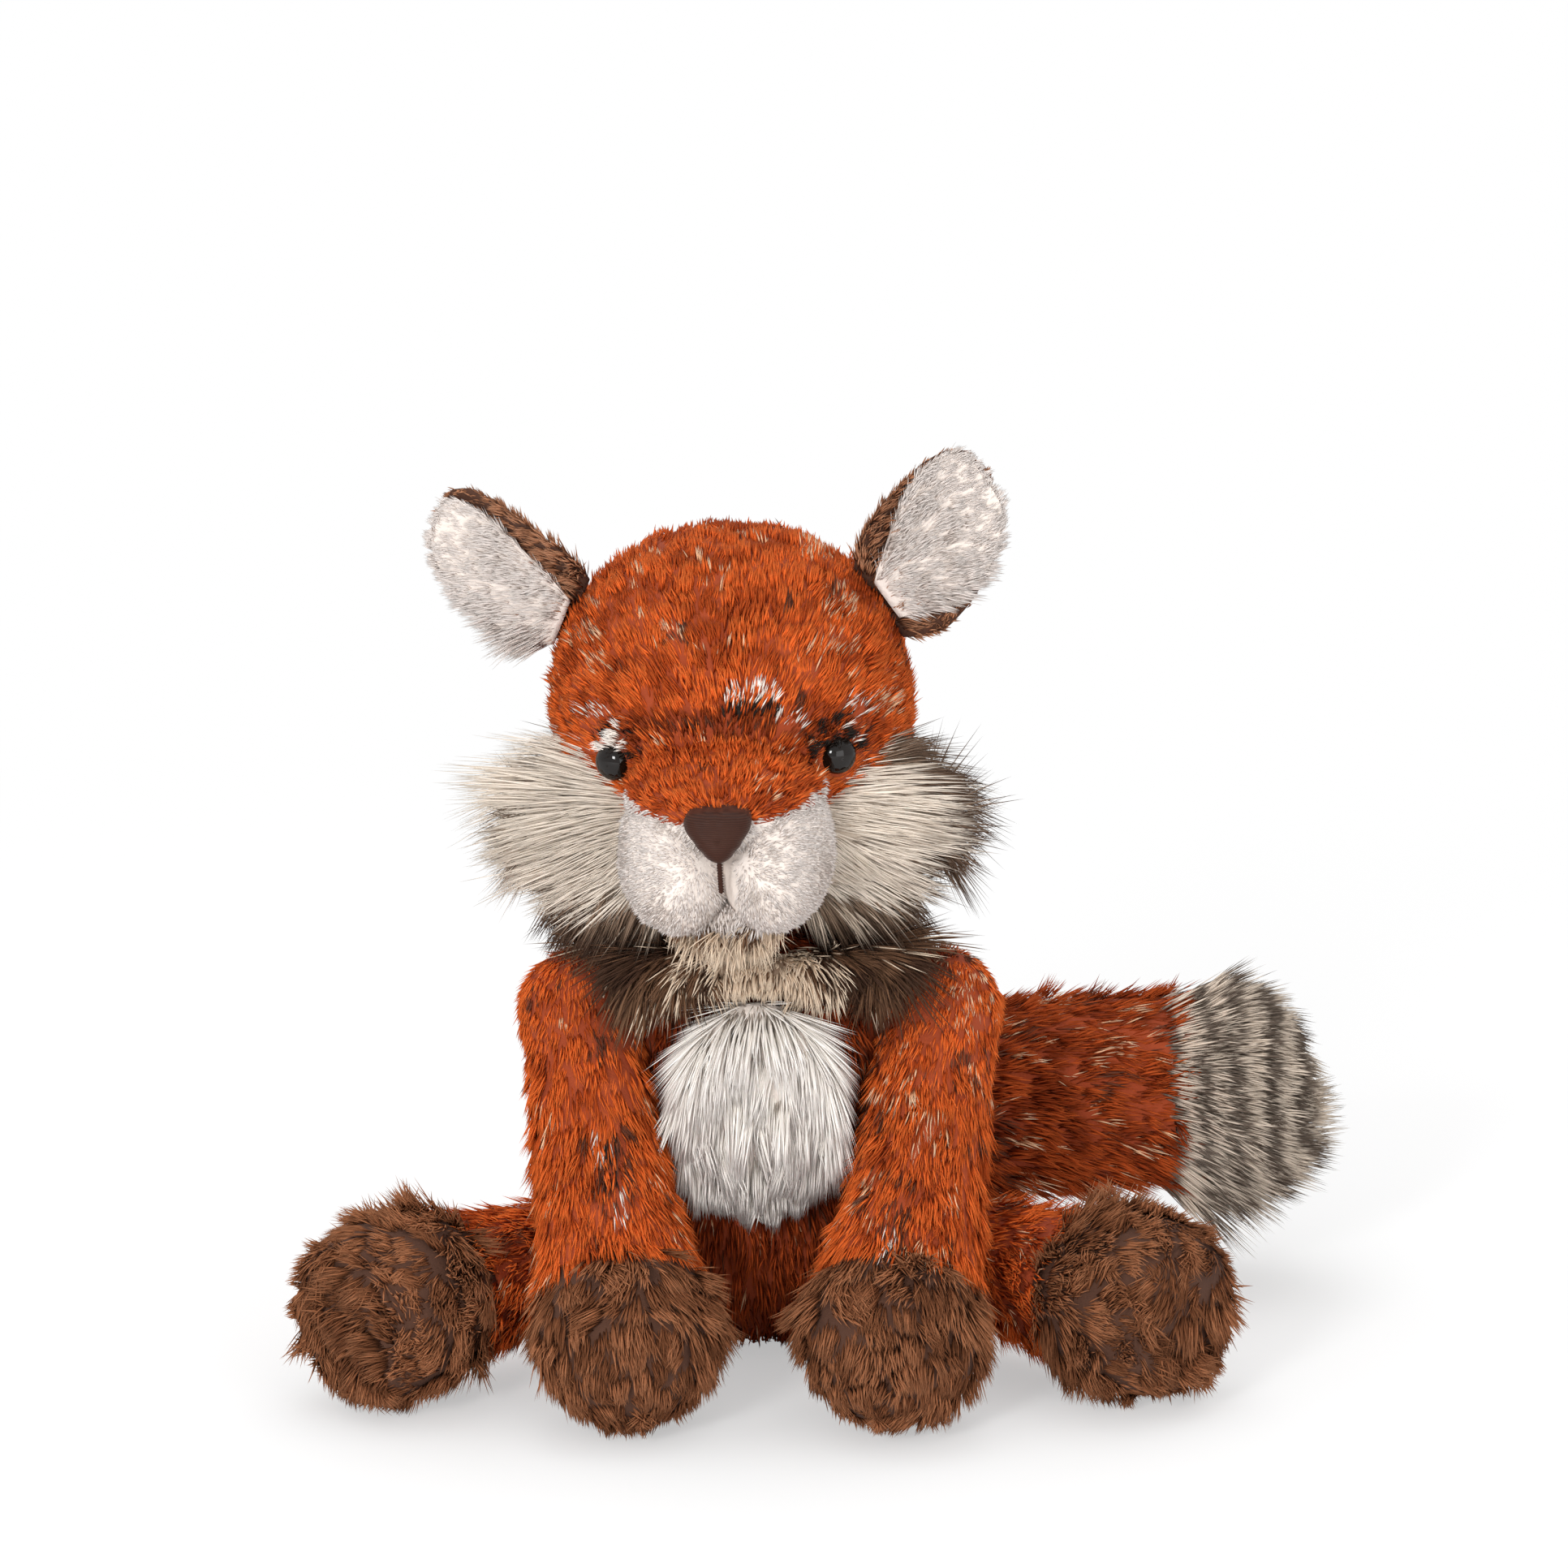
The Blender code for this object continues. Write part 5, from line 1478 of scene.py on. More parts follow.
@dataclass
class Leg:
    """Leg from the hip to the round sole."""

    side: Side
    splay: float
    hip: Place = (0.045, -0.006, 0.034)
    radius: float = 0.022
    length: float = 0.112
    foot_radius: float = 0.0318
    foot_height: float = 0.0313
    cuff_share: float = 0.575
    shares: Rows = (
        (0.0, 1.0, 1.0), (0.10, 0.93, 0.93), (0.28, 0.95, 0.97), (0.44, 1.03, 1.04), (0.575, 1.12, 1.14),
    )
    foot_shares: Rows = ((0.68, 0.92, 0.94), (0.80, 1.0, 1.0), (0.91, 0.97, 0.98), (1.0, 0.86, 0.87))
    sole_gap: float = 0.0003
    sole_thickness: float = 0.0065
    sole_shares: Rows = ((0.0, 0.83, 0.83), (0.45, 0.74, 0.74), (0.82, 0.48, 0.48))

    def dress(self) -> None:
        """Sleeve, shaggy foot and sole."""
        sign = self.side.value
        start = self.side.mirror(self.hip)
        heading = self.side.mirror((math.sin(self.splay), -math.cos(self.splay), 0))
        end = start + heading * self.length + [0, 0, self.foot_height - self.hip[2]]
        across = (math.cos(self.splay), sign * math.sin(self.splay), 0.0)
        length = float(np.linalg.norm(end - start))
        stations = ball_rows(self.radius)
        stations += rows_of(self.shares, length, self.radius, self.radius)
        stations += rows_of(self.foot_shares, length, self.foot_radius, self.foot_radius)
        form = Tube(tuple(start), tuple(end), stations, side=across, root=-self.radius)
        flecks = Flecks(deep=0.40, cream=-0.05, dark=0.0)
        limb = Limb(
            self.side, "leg", "foot", form, self.cuff_share * length, flecks, 41 + sign, hidden=0.024
        )
        coat = Coat(0.0105, 0.00070, 0.9, lift=0.24, droop=0.15, tuft=0.006, gather=0.40)
        shag = Coat(
            0.0108, 0.00070, 1.75, lift=0.27, droop=0.10, tuft=0.0085, gather=0.44, tumble=0.50,
            swirl=0.9, unruly=0.24, ragged=0.45,
        )
        limb.dress(coat, shag)
        out = unit(end - start)
        face = end + out * self.sole_gap
        rows = rows_of(self.sole_shares, self.sole_thickness, self.foot_radius, self.foot_radius)
        sole = Tube(
            tuple(face), tuple(face + out * self.sole_thickness), rows, side=across, tip=self.sole_thickness
        )
        shag = replace(
            shag, length=0.0090, density=2.1, lift=0.22, along=0.10, down=0.30, tuft=0.0090, swirl=1.5
        )
        word = self.side.word
        pelt = Pelt(f"sole_{word}", sole.surface(20, 48), f"leg_{word}", BROWN_PLUSH, shag, 0.0040, 45 + sign)
        pelt.back()
        pelt.grow(mark=brown_kinds)


@dataclass
class Tail:
    """Thick tail with a banded brush."""

    root: Place = (0.022, 0.040, 0.060)
    radius: float = 0.019
    reach: float = 0.164
    sway: float = 0.030
    bend_share: float = 0.33
    end_setback: float = 0.020
    rise: float = 0.004
    half_width: float = 0.030
    shares: Rows = ((0.12, 0.70, 0.72), (0.25, 0.90, 0.93), (0.45, 1.0, 1.05), (0.73, 0.97, 1.05))
    brush_shares: Rows = ((0.80, 1.03, 1.11), (0.89, 1.0, 1.08), (0.955, 0.76, 0.84), (0.987, 0.42, 0.46))
    cuff_share: float = 0.73
    brush_share: float = 0.78
    band: float = 0.0118

    def dress(self) -> None:
        """Rust sleeve with pale streaks, then the brush."""
        start = np.array(self.root)
        end = start + [self.reach, self.end_setback, self.rise]
        control = start + [self.reach * self.bend_share, self.sway, 0]
        length = float(np.linalg.norm(end - start))
        stations = ball_rows(self.radius) + ((0.0, self.radius, self.radius),)
        stations += rows_of(self.shares + self.brush_shares, length, self.half_width, self.half_width)
        form = Tube(
            tuple(start), tuple(end), stations, control=tuple(control), side=(0, 1, 0),
            root=-self.radius, tip=length,
        )
        whole, row = form.parted(72, 52, self.cuff_share * length)
        coat = Coat(0.0100, 0.00070, 0.95, lift=0.24, droop=0.12, tuft=0.0065, gather=0.40, tumble=0.26)
        sleeve = Surface(whole.points[: row + 1])
        # The sleeve's darker shaded pile is painted shade: the tail lies in the body's shadow.
        pelt = Pelt("tail_sleeve", sleeve, "tail", SHADED_PLUSH, coat, 0.0022, 61)
        pelt.back()
        first = whole.points[row - 3 :, :, 0].mean(axis=1).min()

        def shortened(surface: Surface) -> Surface:
            """The form with its part past the sleeve drawn in lengthwise."""
            points = surface.points.copy()
            drawn = first + (points[..., 0] - first) * self.brush_share
            points[..., 0] = np.minimum(points[..., 0], drawn)
            return Surface(points)

        fill_in("tail", shortened(form.surface(32, 24)), "tail_stuffing", "tail")
        pelt.grow(
            keep=lambda p, c: np.where(nearest(p, start) < 0.017, 0.1, 1.0),
            trim=lambda p, c: np.interp(p[:, 2], (0.034, 0.050), (1.5, 1.0)),
            mark=Flecks(deep=0.40, cream=0.03, dark=-0.05).kinds,
        )
        brush = Coat(
            0.023, 0.00072, 1.25, lift=0.42, segments=3, stream=(0.46, 0.0, -0.10), droop=0.12,
            tuft=0.0064, gather=0.50, unruly=0.18, tumble=0.24, ragged=0.45,
        )
        surface = Surface(shortened(whole).points[row - 3 :])
        tuft = Pelt("tail_brush", surface, "tail", BRUSH_PLUSH, brush, 0.0045, 67)
        tuft.back()

        def phase(points: Array, chance: Array) -> Array:
            """Place of the root in the rings, as a whole number of sixteenths."""
            along = points[:, 0] + wander(points, 0.012, 73) * 0.004 + chance[:, 0] * 0.0014
            return np.floor((along / self.band % 1.0) * MARKS)

        def trim(points: Array, chance: Array) -> Array:
            """Shorter toward the end and the back, longer below."""
            x, y, z = points.T
            share = np.interp(x, (first + 0.004, first + 0.030), (1.0, 0.62))
            share = share * np.interp(z, (0.040, 0.070), (1.35, 1.0))
            return share * np.interp(y, (0.068, 0.088), (1.0, 0.40))

        tuft.grow(trim=trim, mark=phase)


@dataclass(frozen=True)
class Bulge:
    """A form on the head that swells and closes toward its far end, in the head's own frame.

    Attributes:
        start: First point of its middle line.
        end: Last point of its middle line.
        half_width: Largest half width.
        half_height: Largest half height.
        shares: Share of the length, of the half width and of the half height by row.
        side: Heading of the half width.
    """

    start: Place
    end: Place
    half_width: float
    half_height: float
    shares: Rows
    side: Place = (1.0, 0.0, 0.0)

    def mirrored(self, side: Side) -> Bulge:
        """The form of the toy's left, on one side."""
        return replace(self, start=tuple(side.mirror(self.start)), end=tuple(side.mirror(self.end)))

    def surface(self, rows: int, columns: int) -> Surface:
        """The form as a grid."""
        length = math.dist(self.start, self.end)
        stations = rows_of(self.shares, length, self.half_width, self.half_height)
        return Tube(self.start, self.end, stations, side=self.side, tip=length).surface(rows, columns)


def turning(angle: float, first: int, second: int) -> Array:
    """Turn by an angle from the first axis toward the second, as a 3 by 3 matrix.

    Args:
        angle: Angle in radians.
        first: Number of the axis turned from.
        second: Number of the axis turned toward.

    Returns:
        The matrix.
    """
    matrix = np.eye(3)
    matrix[[first, second], [first, second]] = math.cos(angle)
    matrix[second, first], matrix[first, second] = math.sin(angle), -math.sin(angle)
    return matrix


@dataclass
class Head:
    """Skull, ruffs, muzzle and neck, in the head's own frame."""

    neck: Place = (-0.0055, -0.004, 0.145)
    neck_radius: float = 0.020
    lean: float = math.radians(-2.5)
    turn: float = math.radians(-3.0)
    base: float = 0.004
    height: float = 0.1155
    half_width: float = 0.0555
    half_depth: float = 0.052
    setback: float = -0.008
    seam: float = 0.0462
    eye_spread: float = 0.0345
    eye_height: float = 0.0560
    shares: Rows = (
        (0.0, 0.50, 0.48, 0.0), (0.07, 0.66, 0.65, 0.4), (0.20, 0.85, 0.85, 0.8), (0.37, 0.96, 0.96, 1.0),
        (0.53, 1.0, 1.0, 1.0), (0.69, 0.95, 0.95, 1.0), (0.83, 0.80, 0.80, 1.0), (0.935, 0.54, 0.55, 1.0),
        (0.98, 0.30, 0.30, 1.0),
    )
    ruff_form: Bulge = Bulge(
        (0.010, -0.028, 0.030), (0.062, -0.021, 0.031), 0.026, 0.029,
        ((0.0, 0.84, 0.80), (0.28, 1.0, 1.0), (0.58, 0.96, 0.95), (0.80, 0.72, 0.72), (0.94, 0.38, 0.38)),
        side=(0.0, 1.0, 0.0),
    )
    pad_form: Bulge = Bulge(
        (0.0142, -0.040, 0.0335), (0.0142, -0.095, 0.0272), 0.0192, 0.0248,
        ((0.0, 0.92, 0.85), (0.35, 1.0, 1.0), (0.62, 0.92, 0.90), (0.83, 0.70, 0.68), (0.95, 0.38, 0.38)),
    )
    bridge_form: Bulge = Bulge(
        (0.0, -0.040, 0.0505), (0.0, -0.093, 0.0425), 0.031, 0.0165,
        ((0.0, 0.97, 0.9), (0.35, 1.0, 1.0), (0.62, 0.88, 0.86), (0.83, 0.62, 0.62), (0.95, 0.34, 0.34)),
    )
    chin_form: Bulge = Bulge(
        (0.0, -0.040, 0.0135), (0.0, -0.080, 0.0135), 0.018, 0.0105,
        ((0.0, 0.9, 0.9), (0.45, 1.0, 1.0), (0.75, 0.78, 0.78), (0.93, 0.42, 0.42)),
    )
    pad_coat: Coat = Coat(
        0.0034, 0.00064, 2.8, lift=0.34, along=-0.3, down=0.3, droop=0.1, tuft=0.004, gather=0.10,
        tumble=0.10, unruly=0.3,
    )
    brow_spots: Rows = (
        # The first two rows paint shade along the crease over the bridge: dark rust strands and a thin dark
        # line.
        (-0.0083, 0.1885, 0.0330, 0.0042, Kind.CREASE, 0.85),
        (-0.0083, 0.1880, 0.0330, 0.0016, Kind.DARK, 0.40),
        (-0.0030, 0.1965, 0.0080, 0.0042, Kind.WHITE, 0.80),
        (-0.0015, 0.1928, 0.0070, 0.0024, Kind.BLACK, 0.70),
        (0.0080, 0.1900, 0.0045, 0.0035, Kind.WHITE, 0.50),
        (-0.0080, 0.1935, 0.0030, 0.0028, Kind.BLACK, 0.60),
        (-0.0430, 0.1880, 0.0070, 0.0045, Kind.BLACK, 0.40),
        (-0.0500, 0.1935, 0.0060, 0.0030, Kind.WHITE, 0.50),
        (0.0255, 0.1885, 0.0075, 0.0045, Kind.BLACK, 0.40),
        (0.0300, 0.1950, 0.0060, 0.0030, Kind.WHITE, 0.50),
        (0.0370, 0.1955, 0.0050, 0.0040, Kind.CREAM, 0.60),
        (-0.0520, 0.2165, 0.0060, 0.0035, Kind.CREAM, 0.50),
        (-0.0260, 0.2165, 0.0040, 0.0030, Kind.CREAM, 0.45),
        (0.0180, 0.2440, 0.0065, 0.0050, Kind.CREAM, 0.55),
        (0.0240, 0.2260, 0.0060, 0.0060, Kind.CREAM, 0.55),
        (0.0230, 0.2130, 0.0060, 0.0040, Kind.CREAM, 0.40),
        (-0.0480, 0.2080, 0.0050, 0.0030, Kind.CREAM, 0.40),
        (0.0230, 0.2290, 0.0020, 0.0040, Kind.DARK, 0.50),
    )
    bridge_spots: Rows = (
        # Painted shade along the crease over the bridge: dark rust strands and a thin dark line.
        (-0.0083, 0.1880, 0.0330, 0.0046, Kind.CREASE, 0.95),
        (-0.0083, 0.1890, 0.0330, 0.0014, Kind.DARK, 0.40),
    )

    @property
    def matrix(self) -> Array:
        """Head's frame to the world: leaned about Y, turned about Z, then moved to the neck."""
        whole = np.eye(4)
        whole[:3, :3] = turning(self.turn, 0, 1) @ turning(self.lean, 2, 0)
        whole[:3, 3] = self.neck
        return whole

    def world(self, place: Place | Array) -> Array:
        """A point of the head's frame in the world."""
        return self.matrix[:3, :3] @ np.array(place) + self.matrix[:3, 3]

    def eye(self, side: Side, depth: float = -0.052) -> Array:
        """Middle of an eye in the world, at a depth."""
        return self.world(side.mirror((self.eye_spread, depth, self.eye_height)))

    def aside(self, points: Array) -> Array:
        """Distance of each point from the middle plane through the neck."""
        return np.abs(points[:, 0] - self.neck[0])

    def shares_at(self, height: float) -> tuple[float, ...]:
        """Shares of the skull's half width, half depth and setback at a height."""
        rows = np.array(self.shares)
        place = (height - self.base) / self.height
        return tuple(float(np.interp(place, rows[:, 0], rows[:, column])) for column in (1, 2, 3))

    def skull(self, rows: int, columns: int) -> Surface:
        """The skull from the neck to the crown.

        Args:
            rows: Rows along the form.
            columns: Columns round it.

        Returns:
            The skull in the world.
        """
        shares = [row[:3] for row in self.shares]
        form = Tube(
            (0, 0, self.base), (0, 0, self.base + self.height),
            rows_of(shares, self.height, self.half_width, self.half_depth), level=UPWARD,
            tip=self.height, shifts=tuple((0.0, row[3] * self.setback, 0.0) for row in self.shares),
        )
        return form.surface(rows, columns).moved(self.matrix)

    def dress(self) -> None:
        """Every soft piece of the head but the ears."""
        self.crown()
        for side in Side:
            self.ruff(side)
            self.pad(side)
        self.bridge()
        self.chin()
        self.neck_ball()

    def crown(self) -> None:
        """Rust pile of the skull, in a front and a back piece, and a brow over each eye."""
        coat = Coat(
            0.0068, 0.00072, 1.85, lift=0.21, along=0.0, pull=(0.0, 0.9, 0.55), droop=0.1,
            tuft=0.0050, gather=0.26, tumble=0.22, unruly=0.15,
        )
        pelt = Pelt("head", self.skull(56, 80), "head", RUST_PLUSH, coat, 0.0008, 81, "head_skin")
        pelt.back()
        fill_in("head", self.skull(24, 32), "head_stuffing", "head")
        flecks = Flecks(self.brow_spots, deep=0.38, cream=-0.075, dark=-0.17)
        eyes = [self.eye(side) for side in Side]
        middle = self.world((0, self.setback, 0))[1]

        def trim(points: Array, chance: Array) -> Array:
            """Shorter pile toward the eyes."""
            return np.interp(nearest(points, *eyes), (0.005, 0.016), (0.45, 1.0))

        def front(points: Array, chance: Array) -> Array:
            """Strands of the front half, none under the eyes and few under the muzzle."""
            muzzle = (self.aside(points) < 0.026) & (points[:, 2] < 0.190) & (points[:, 1] < -0.03)
            seen = (points[:, 1] < middle) & (nearest(points, *eyes) > 0.0062)
            return seen * np.where(muzzle, 0.15, 1.0)

        def behind(points: Array, chance: Array) -> Array:
            """Strands of the back half, fewer near the neck."""
            return (points[:, 1] >= middle) * np.where(points[:, 2] < 0.155, 0.36, 0.52)

        def brow(points: Array, chance: Array) -> Array:
            """Strands just over each eye."""
            near = nearest(points, *eyes)
            over = (points[:, 2] > self.neck[2] + 0.0570) & (points[:, 1] < middle)
            return ((near > 0.0050) & (near < 0.0112) & over) * 1.0

        def lash(points: Array, chance: Array) -> Array:
            """Black strands with a few rust and white tufts."""
            kinds = np.array([Kind.BLACK, Kind.CREASE, Kind.BLACK, Kind.BLACK, Kind.WHITE, Kind.BLACK])
            return kinds[(chance[:, 1] * len(kinds)).astype(int)]

        pelt.grow("_front_pile", keep=front, trim=trim, mark=flecks.kinds)
        brows = replace(
            coat, length=0.0055, density=2.5, width=0.0005, lift=0.48, pull=(0.0, 0.0, 0.3), droop=0.30,
            gather=0.5,
        )
        replace(pelt, coat=brows, seed=85).grow("_brow_pile", keep=brow, mark=lash)
        replace(pelt, seed=83).grow("_back_pile", keep=behind, mark=flecks.kinds)

    def ruff(self, side: Side) -> None:
        """Long cheek pile that runs out from the muzzle, dark at its tips.

        Args:
            side: Side of the toy.
        """
        sign, name = side.value, f"cheek_ruff_{side.word}"
        surface = self.ruff_form.mirrored(side).surface(40, 48).moved(self.matrix)
        coat = Coat(
            0.027, 0.00054, 1.75, lift=0.06, segments=3, along=0.30, down=0.03,
            away=tuple(self.world((sign * 0.004, -0.060, 0.048))), stream=(sign * 0.30, 0.0, -0.03),
            droop=0.12, tuft=0.0078, gather=0.56, unruly=0.17, tumble=0.26, ragged=0.65,
        )
        pelt = Pelt(name, surface, "head", RUFF_PLUSH, coat, 0.004, 91 + sign)
        pelt.back()
        centre = self.world((sign * 0.030, -0.045, 0.030))
        eye = self.eye(side)
        # The toy's left ruff, away from the key light, gets more dark strands: painted shade.
        shade_reach_share = 1.26 if side is Side.LEFT else 0.98

        def tips(points: Array, chance: Array) -> Array:
            """Cream by the muzzle, dark tips outward and below, more on the left as painted shade."""
            out = np.linalg.norm((points - centre) * [1.0, 0.4, 1.0], axis=1)
            share = np.interp(out * shade_reach_share, (0.012, 0.021, 0.032), (0.0, 0.45, 0.96))
            kind = np.where(luck(chance, 0.5) < share, 1, 0)
            low = (points[:, 2] < 0.158) & (self.aside(points) > 0.018) & (luck(chance, 0.6) < 0.55)
            smoky_and_shaded = (kind == 1) & (chance[:, 1] > 0.59 - 0.19 * sign)
            return np.where(low | smoky_and_shaded, 2, kind)

        def clear(points: Array, chance: Array) -> Array:
            """No strand before the eye, and few inside the muzzle."""
            inner = np.where(self.aside(points) < 0.020, 0.25, 1.0)
            return np.where(nearest(points, eye) < 0.012, 0.0, inner)

        def trim(points: Array, chance: Array) -> Array:
            """Short beside the muzzle, longer outward and at the top."""
            share = np.interp(self.aside(points), (0.018, 0.040, 0.066), (0.42, 0.85, 1.05))
            return share * np.interp(points[:, 2], (0.178, 0.195), (1.0, 1.35))

        pelt.grow(keep=clear, trim=trim, mark=tips)
        coat = replace(
            coat, length=0.026, down=0.9, lift=0.22, droop=0.5, density=3.6, along=0.1, ragged=0.5,
            segments=2, width=0.00060,
        )
        self.ruff_fringe(replace(pelt, coat=coat, seed=pelt.seed + 2))

    def ruff_fringe(self, pelt: Pelt) -> None:
        """Pile that hangs from a ruff's underside.

        Args:
            pelt: The ruff, with the fringe's coat and seed.
        """
        floor = self.neck[2] + 0.016

        def below(points: Array, chance: Array) -> Array:
            """Strands of the underside only, fewer outward and at the back."""
            front = np.interp(self.aside(points), (0.026, 0.034), (1.0, 0.45))
            return (points[:, 2] < floor) * np.where(points[:, 1] < 0.0, front, 0.25)

        def trim(points: Array, chance: Array) -> Array:
            """A little shorter toward the middle."""
            return np.interp(self.aside(points), (0.008, 0.024, 0.045), (0.90, 0.95, 1.0))

        def tones(points: Array, chance: Array) -> Array:
            """Tipped strands under the chin, dark ones to both sides."""
            dark = np.interp(self.aside(points), (0.010, 0.020, 0.034), (0.10, 0.60, 0.92))
            return np.where(luck(chance, 0.4) < dark, 2, 1)

        pelt.grow("_fringe", keep=below, trim=trim, mark=tones)

    def pad(self, side: Side) -> None:
        """White muzzle pad of short dense pile.

        Args:
            side: Side of the toy.
        """
        sign = side.value
        surface = self.pad_form.mirrored(side).surface(40, 52).moved(self.matrix)
        coat = replace(self.pad_coat, length=0.0032, density=2.5, pull=(sign * 0.5, 0.2, 0.0))
        pelt = Pelt(f"muzzle_pad_{side.word}", surface, "head", WHITE_PLUSH, coat, 0.0012, 101 + sign)
        pelt.back()

        def keep(points: Array, chance: Array) -> Array:
            """Strands up to the lip line, few where the pad lies in the skull."""
            own = (points[:, 0] - self.neck[0]) * sign > -0.0010
            return np.where(points[:, 1] > -0.050, 0.3, 1.0) * own

        pelt.grow(keep=keep, mark=smoky_kinds)

    def bridge(self) -> None:
        """Top of the muzzle in short pile, rust above its seam and white below."""
        own = self.matrix
        surface = self.bridge_form.surface(40, 52).moved(own)
        coat = Coat(
            0.0058, 0.00074, 1.9, lift=0.30, along=-0.9, droop=0.1, tuft=0.0040, gather=0.42,
            tumble=0.32, unruly=0.25,
        )
        cloth = PiecedFinish(
            "bridge backing", RUST_CLOTH.colour, RUST_CLOTH.shadow,
            level=float(own[:3, 2] @ own[:3, 3]) + self.seam, up=tuple(own[:3, 2]),
        )
        plush = replace(RUST_PLUSH, cloth=cloth)
        pelt = Pelt("muzzle_bridge", surface, "head", plush, coat, 0.0012, 111)
        pelt.back()
        eyes = [self.eye(side, depth=-0.056) for side in Side]

        def rise(points: Array) -> Array:
            """Height over the seam between the bridge and the pads."""
            local = (points - own[:3, 3]) @ own[:3, :3]
            slope = np.maximum(np.abs(local[:, 0]) - 0.012, 0) * 0.18
            return local[:, 2] - self.seam - slope - wander(points, 0.005, 113) * 0.0016

        def above(points: Array, chance: Array) -> Array:
            """Strands over the seam, none under the eyes."""
            return ((nearest(points, *eyes) > 0.0070) & (rise(points) > 0.0)) * 1.0

        def below(points: Array, chance: Array) -> Array:
            """Strands under the seam on the muzzle's front."""
            height = rise(points)
            return ((height <= 0.0006) & (height > -0.018) & (points[:, 1] < -0.045)) * 1.0

        flecks = Flecks(self.bridge_spots, deep=0.30, cream=-0.06, dark=-0.12)
        pelt.grow(keep=above, mark=flecks.kinds)
        white = replace(pelt, plush=WHITE_PLUSH, coat=self.pad_coat, seed=115)
        white.grow("_pad_pile", keep=below, mark=smoky_kinds)

    def chin(self) -> None:
        """Small pale chin with a cream and brown fringe."""
        surface = self.chin_form.surface(32, 40).moved(self.matrix)
        coat = Coat(0.0055, 0.0007, 1.6, lift=0.34, along=0.3, down=0.4, tuft=0.004)
        pelt = Pelt("chin", surface, "head", WHITE_PLUSH, coat, 0.001, 121)
        pelt.back()
        pelt.grow(mark=lambda points, chance: np.where(chance[:, 0] < 0.4, 1, 0))
        coat = Coat(
            0.0100, 0.00062, 2.4, lift=0.28, segments=3, along=-0.1, down=0.35,
            away=tuple(self.world((0.0, -0.052, 0.022))), droop=0.75, tuft=0.0050, gather=0.42, unruly=0.3,
            tumble=0.45, ragged=0.8,
        )
        floor = self.neck[2] + 0.012
        plush = replace(WHITE_PLUSH, pile=COLLAR_PILE)
        replace(pelt, plush=plush, coat=coat, seed=123).grow(
            "_fringe",
            keep=lambda points, chance: (points[:, 2] < floor) * 1.0,
            mark=lambda points, chance: np.where(luck(chance, 0.4) < 0.42, 1, 0),
        )

    def neck_ball(self) -> None:
        """Stuffed neck between the head and the torso."""
        radius, (x, y, z) = self.neck_radius, self.neck
        near = ball_rows(radius)
        far = tuple((-place, wide, high) for place, wide, high in reversed(near))
        form = Tube(self.neck, (x, y, z + radius), near + ((0.0, radius, radius),) + far, level=UPWARD)
        coat = Coat(0.0075, 0.00080, 1.0, lift=0.26, along=-1.0, droop=0.2, tuft=0.0050)
        pelt = Pelt("neck", form.surface(28, 48), "neck", RUST_PLUSH, coat, 0.0, 141, "neck_skin")
        pelt.back()
        pelt.grow(mark=Flecks(deep=0.42, cream=-0.05, dark=0.0).kinds)
        fill_in("neck", form.surface(20, 24), "neck_stuffing", "neck")


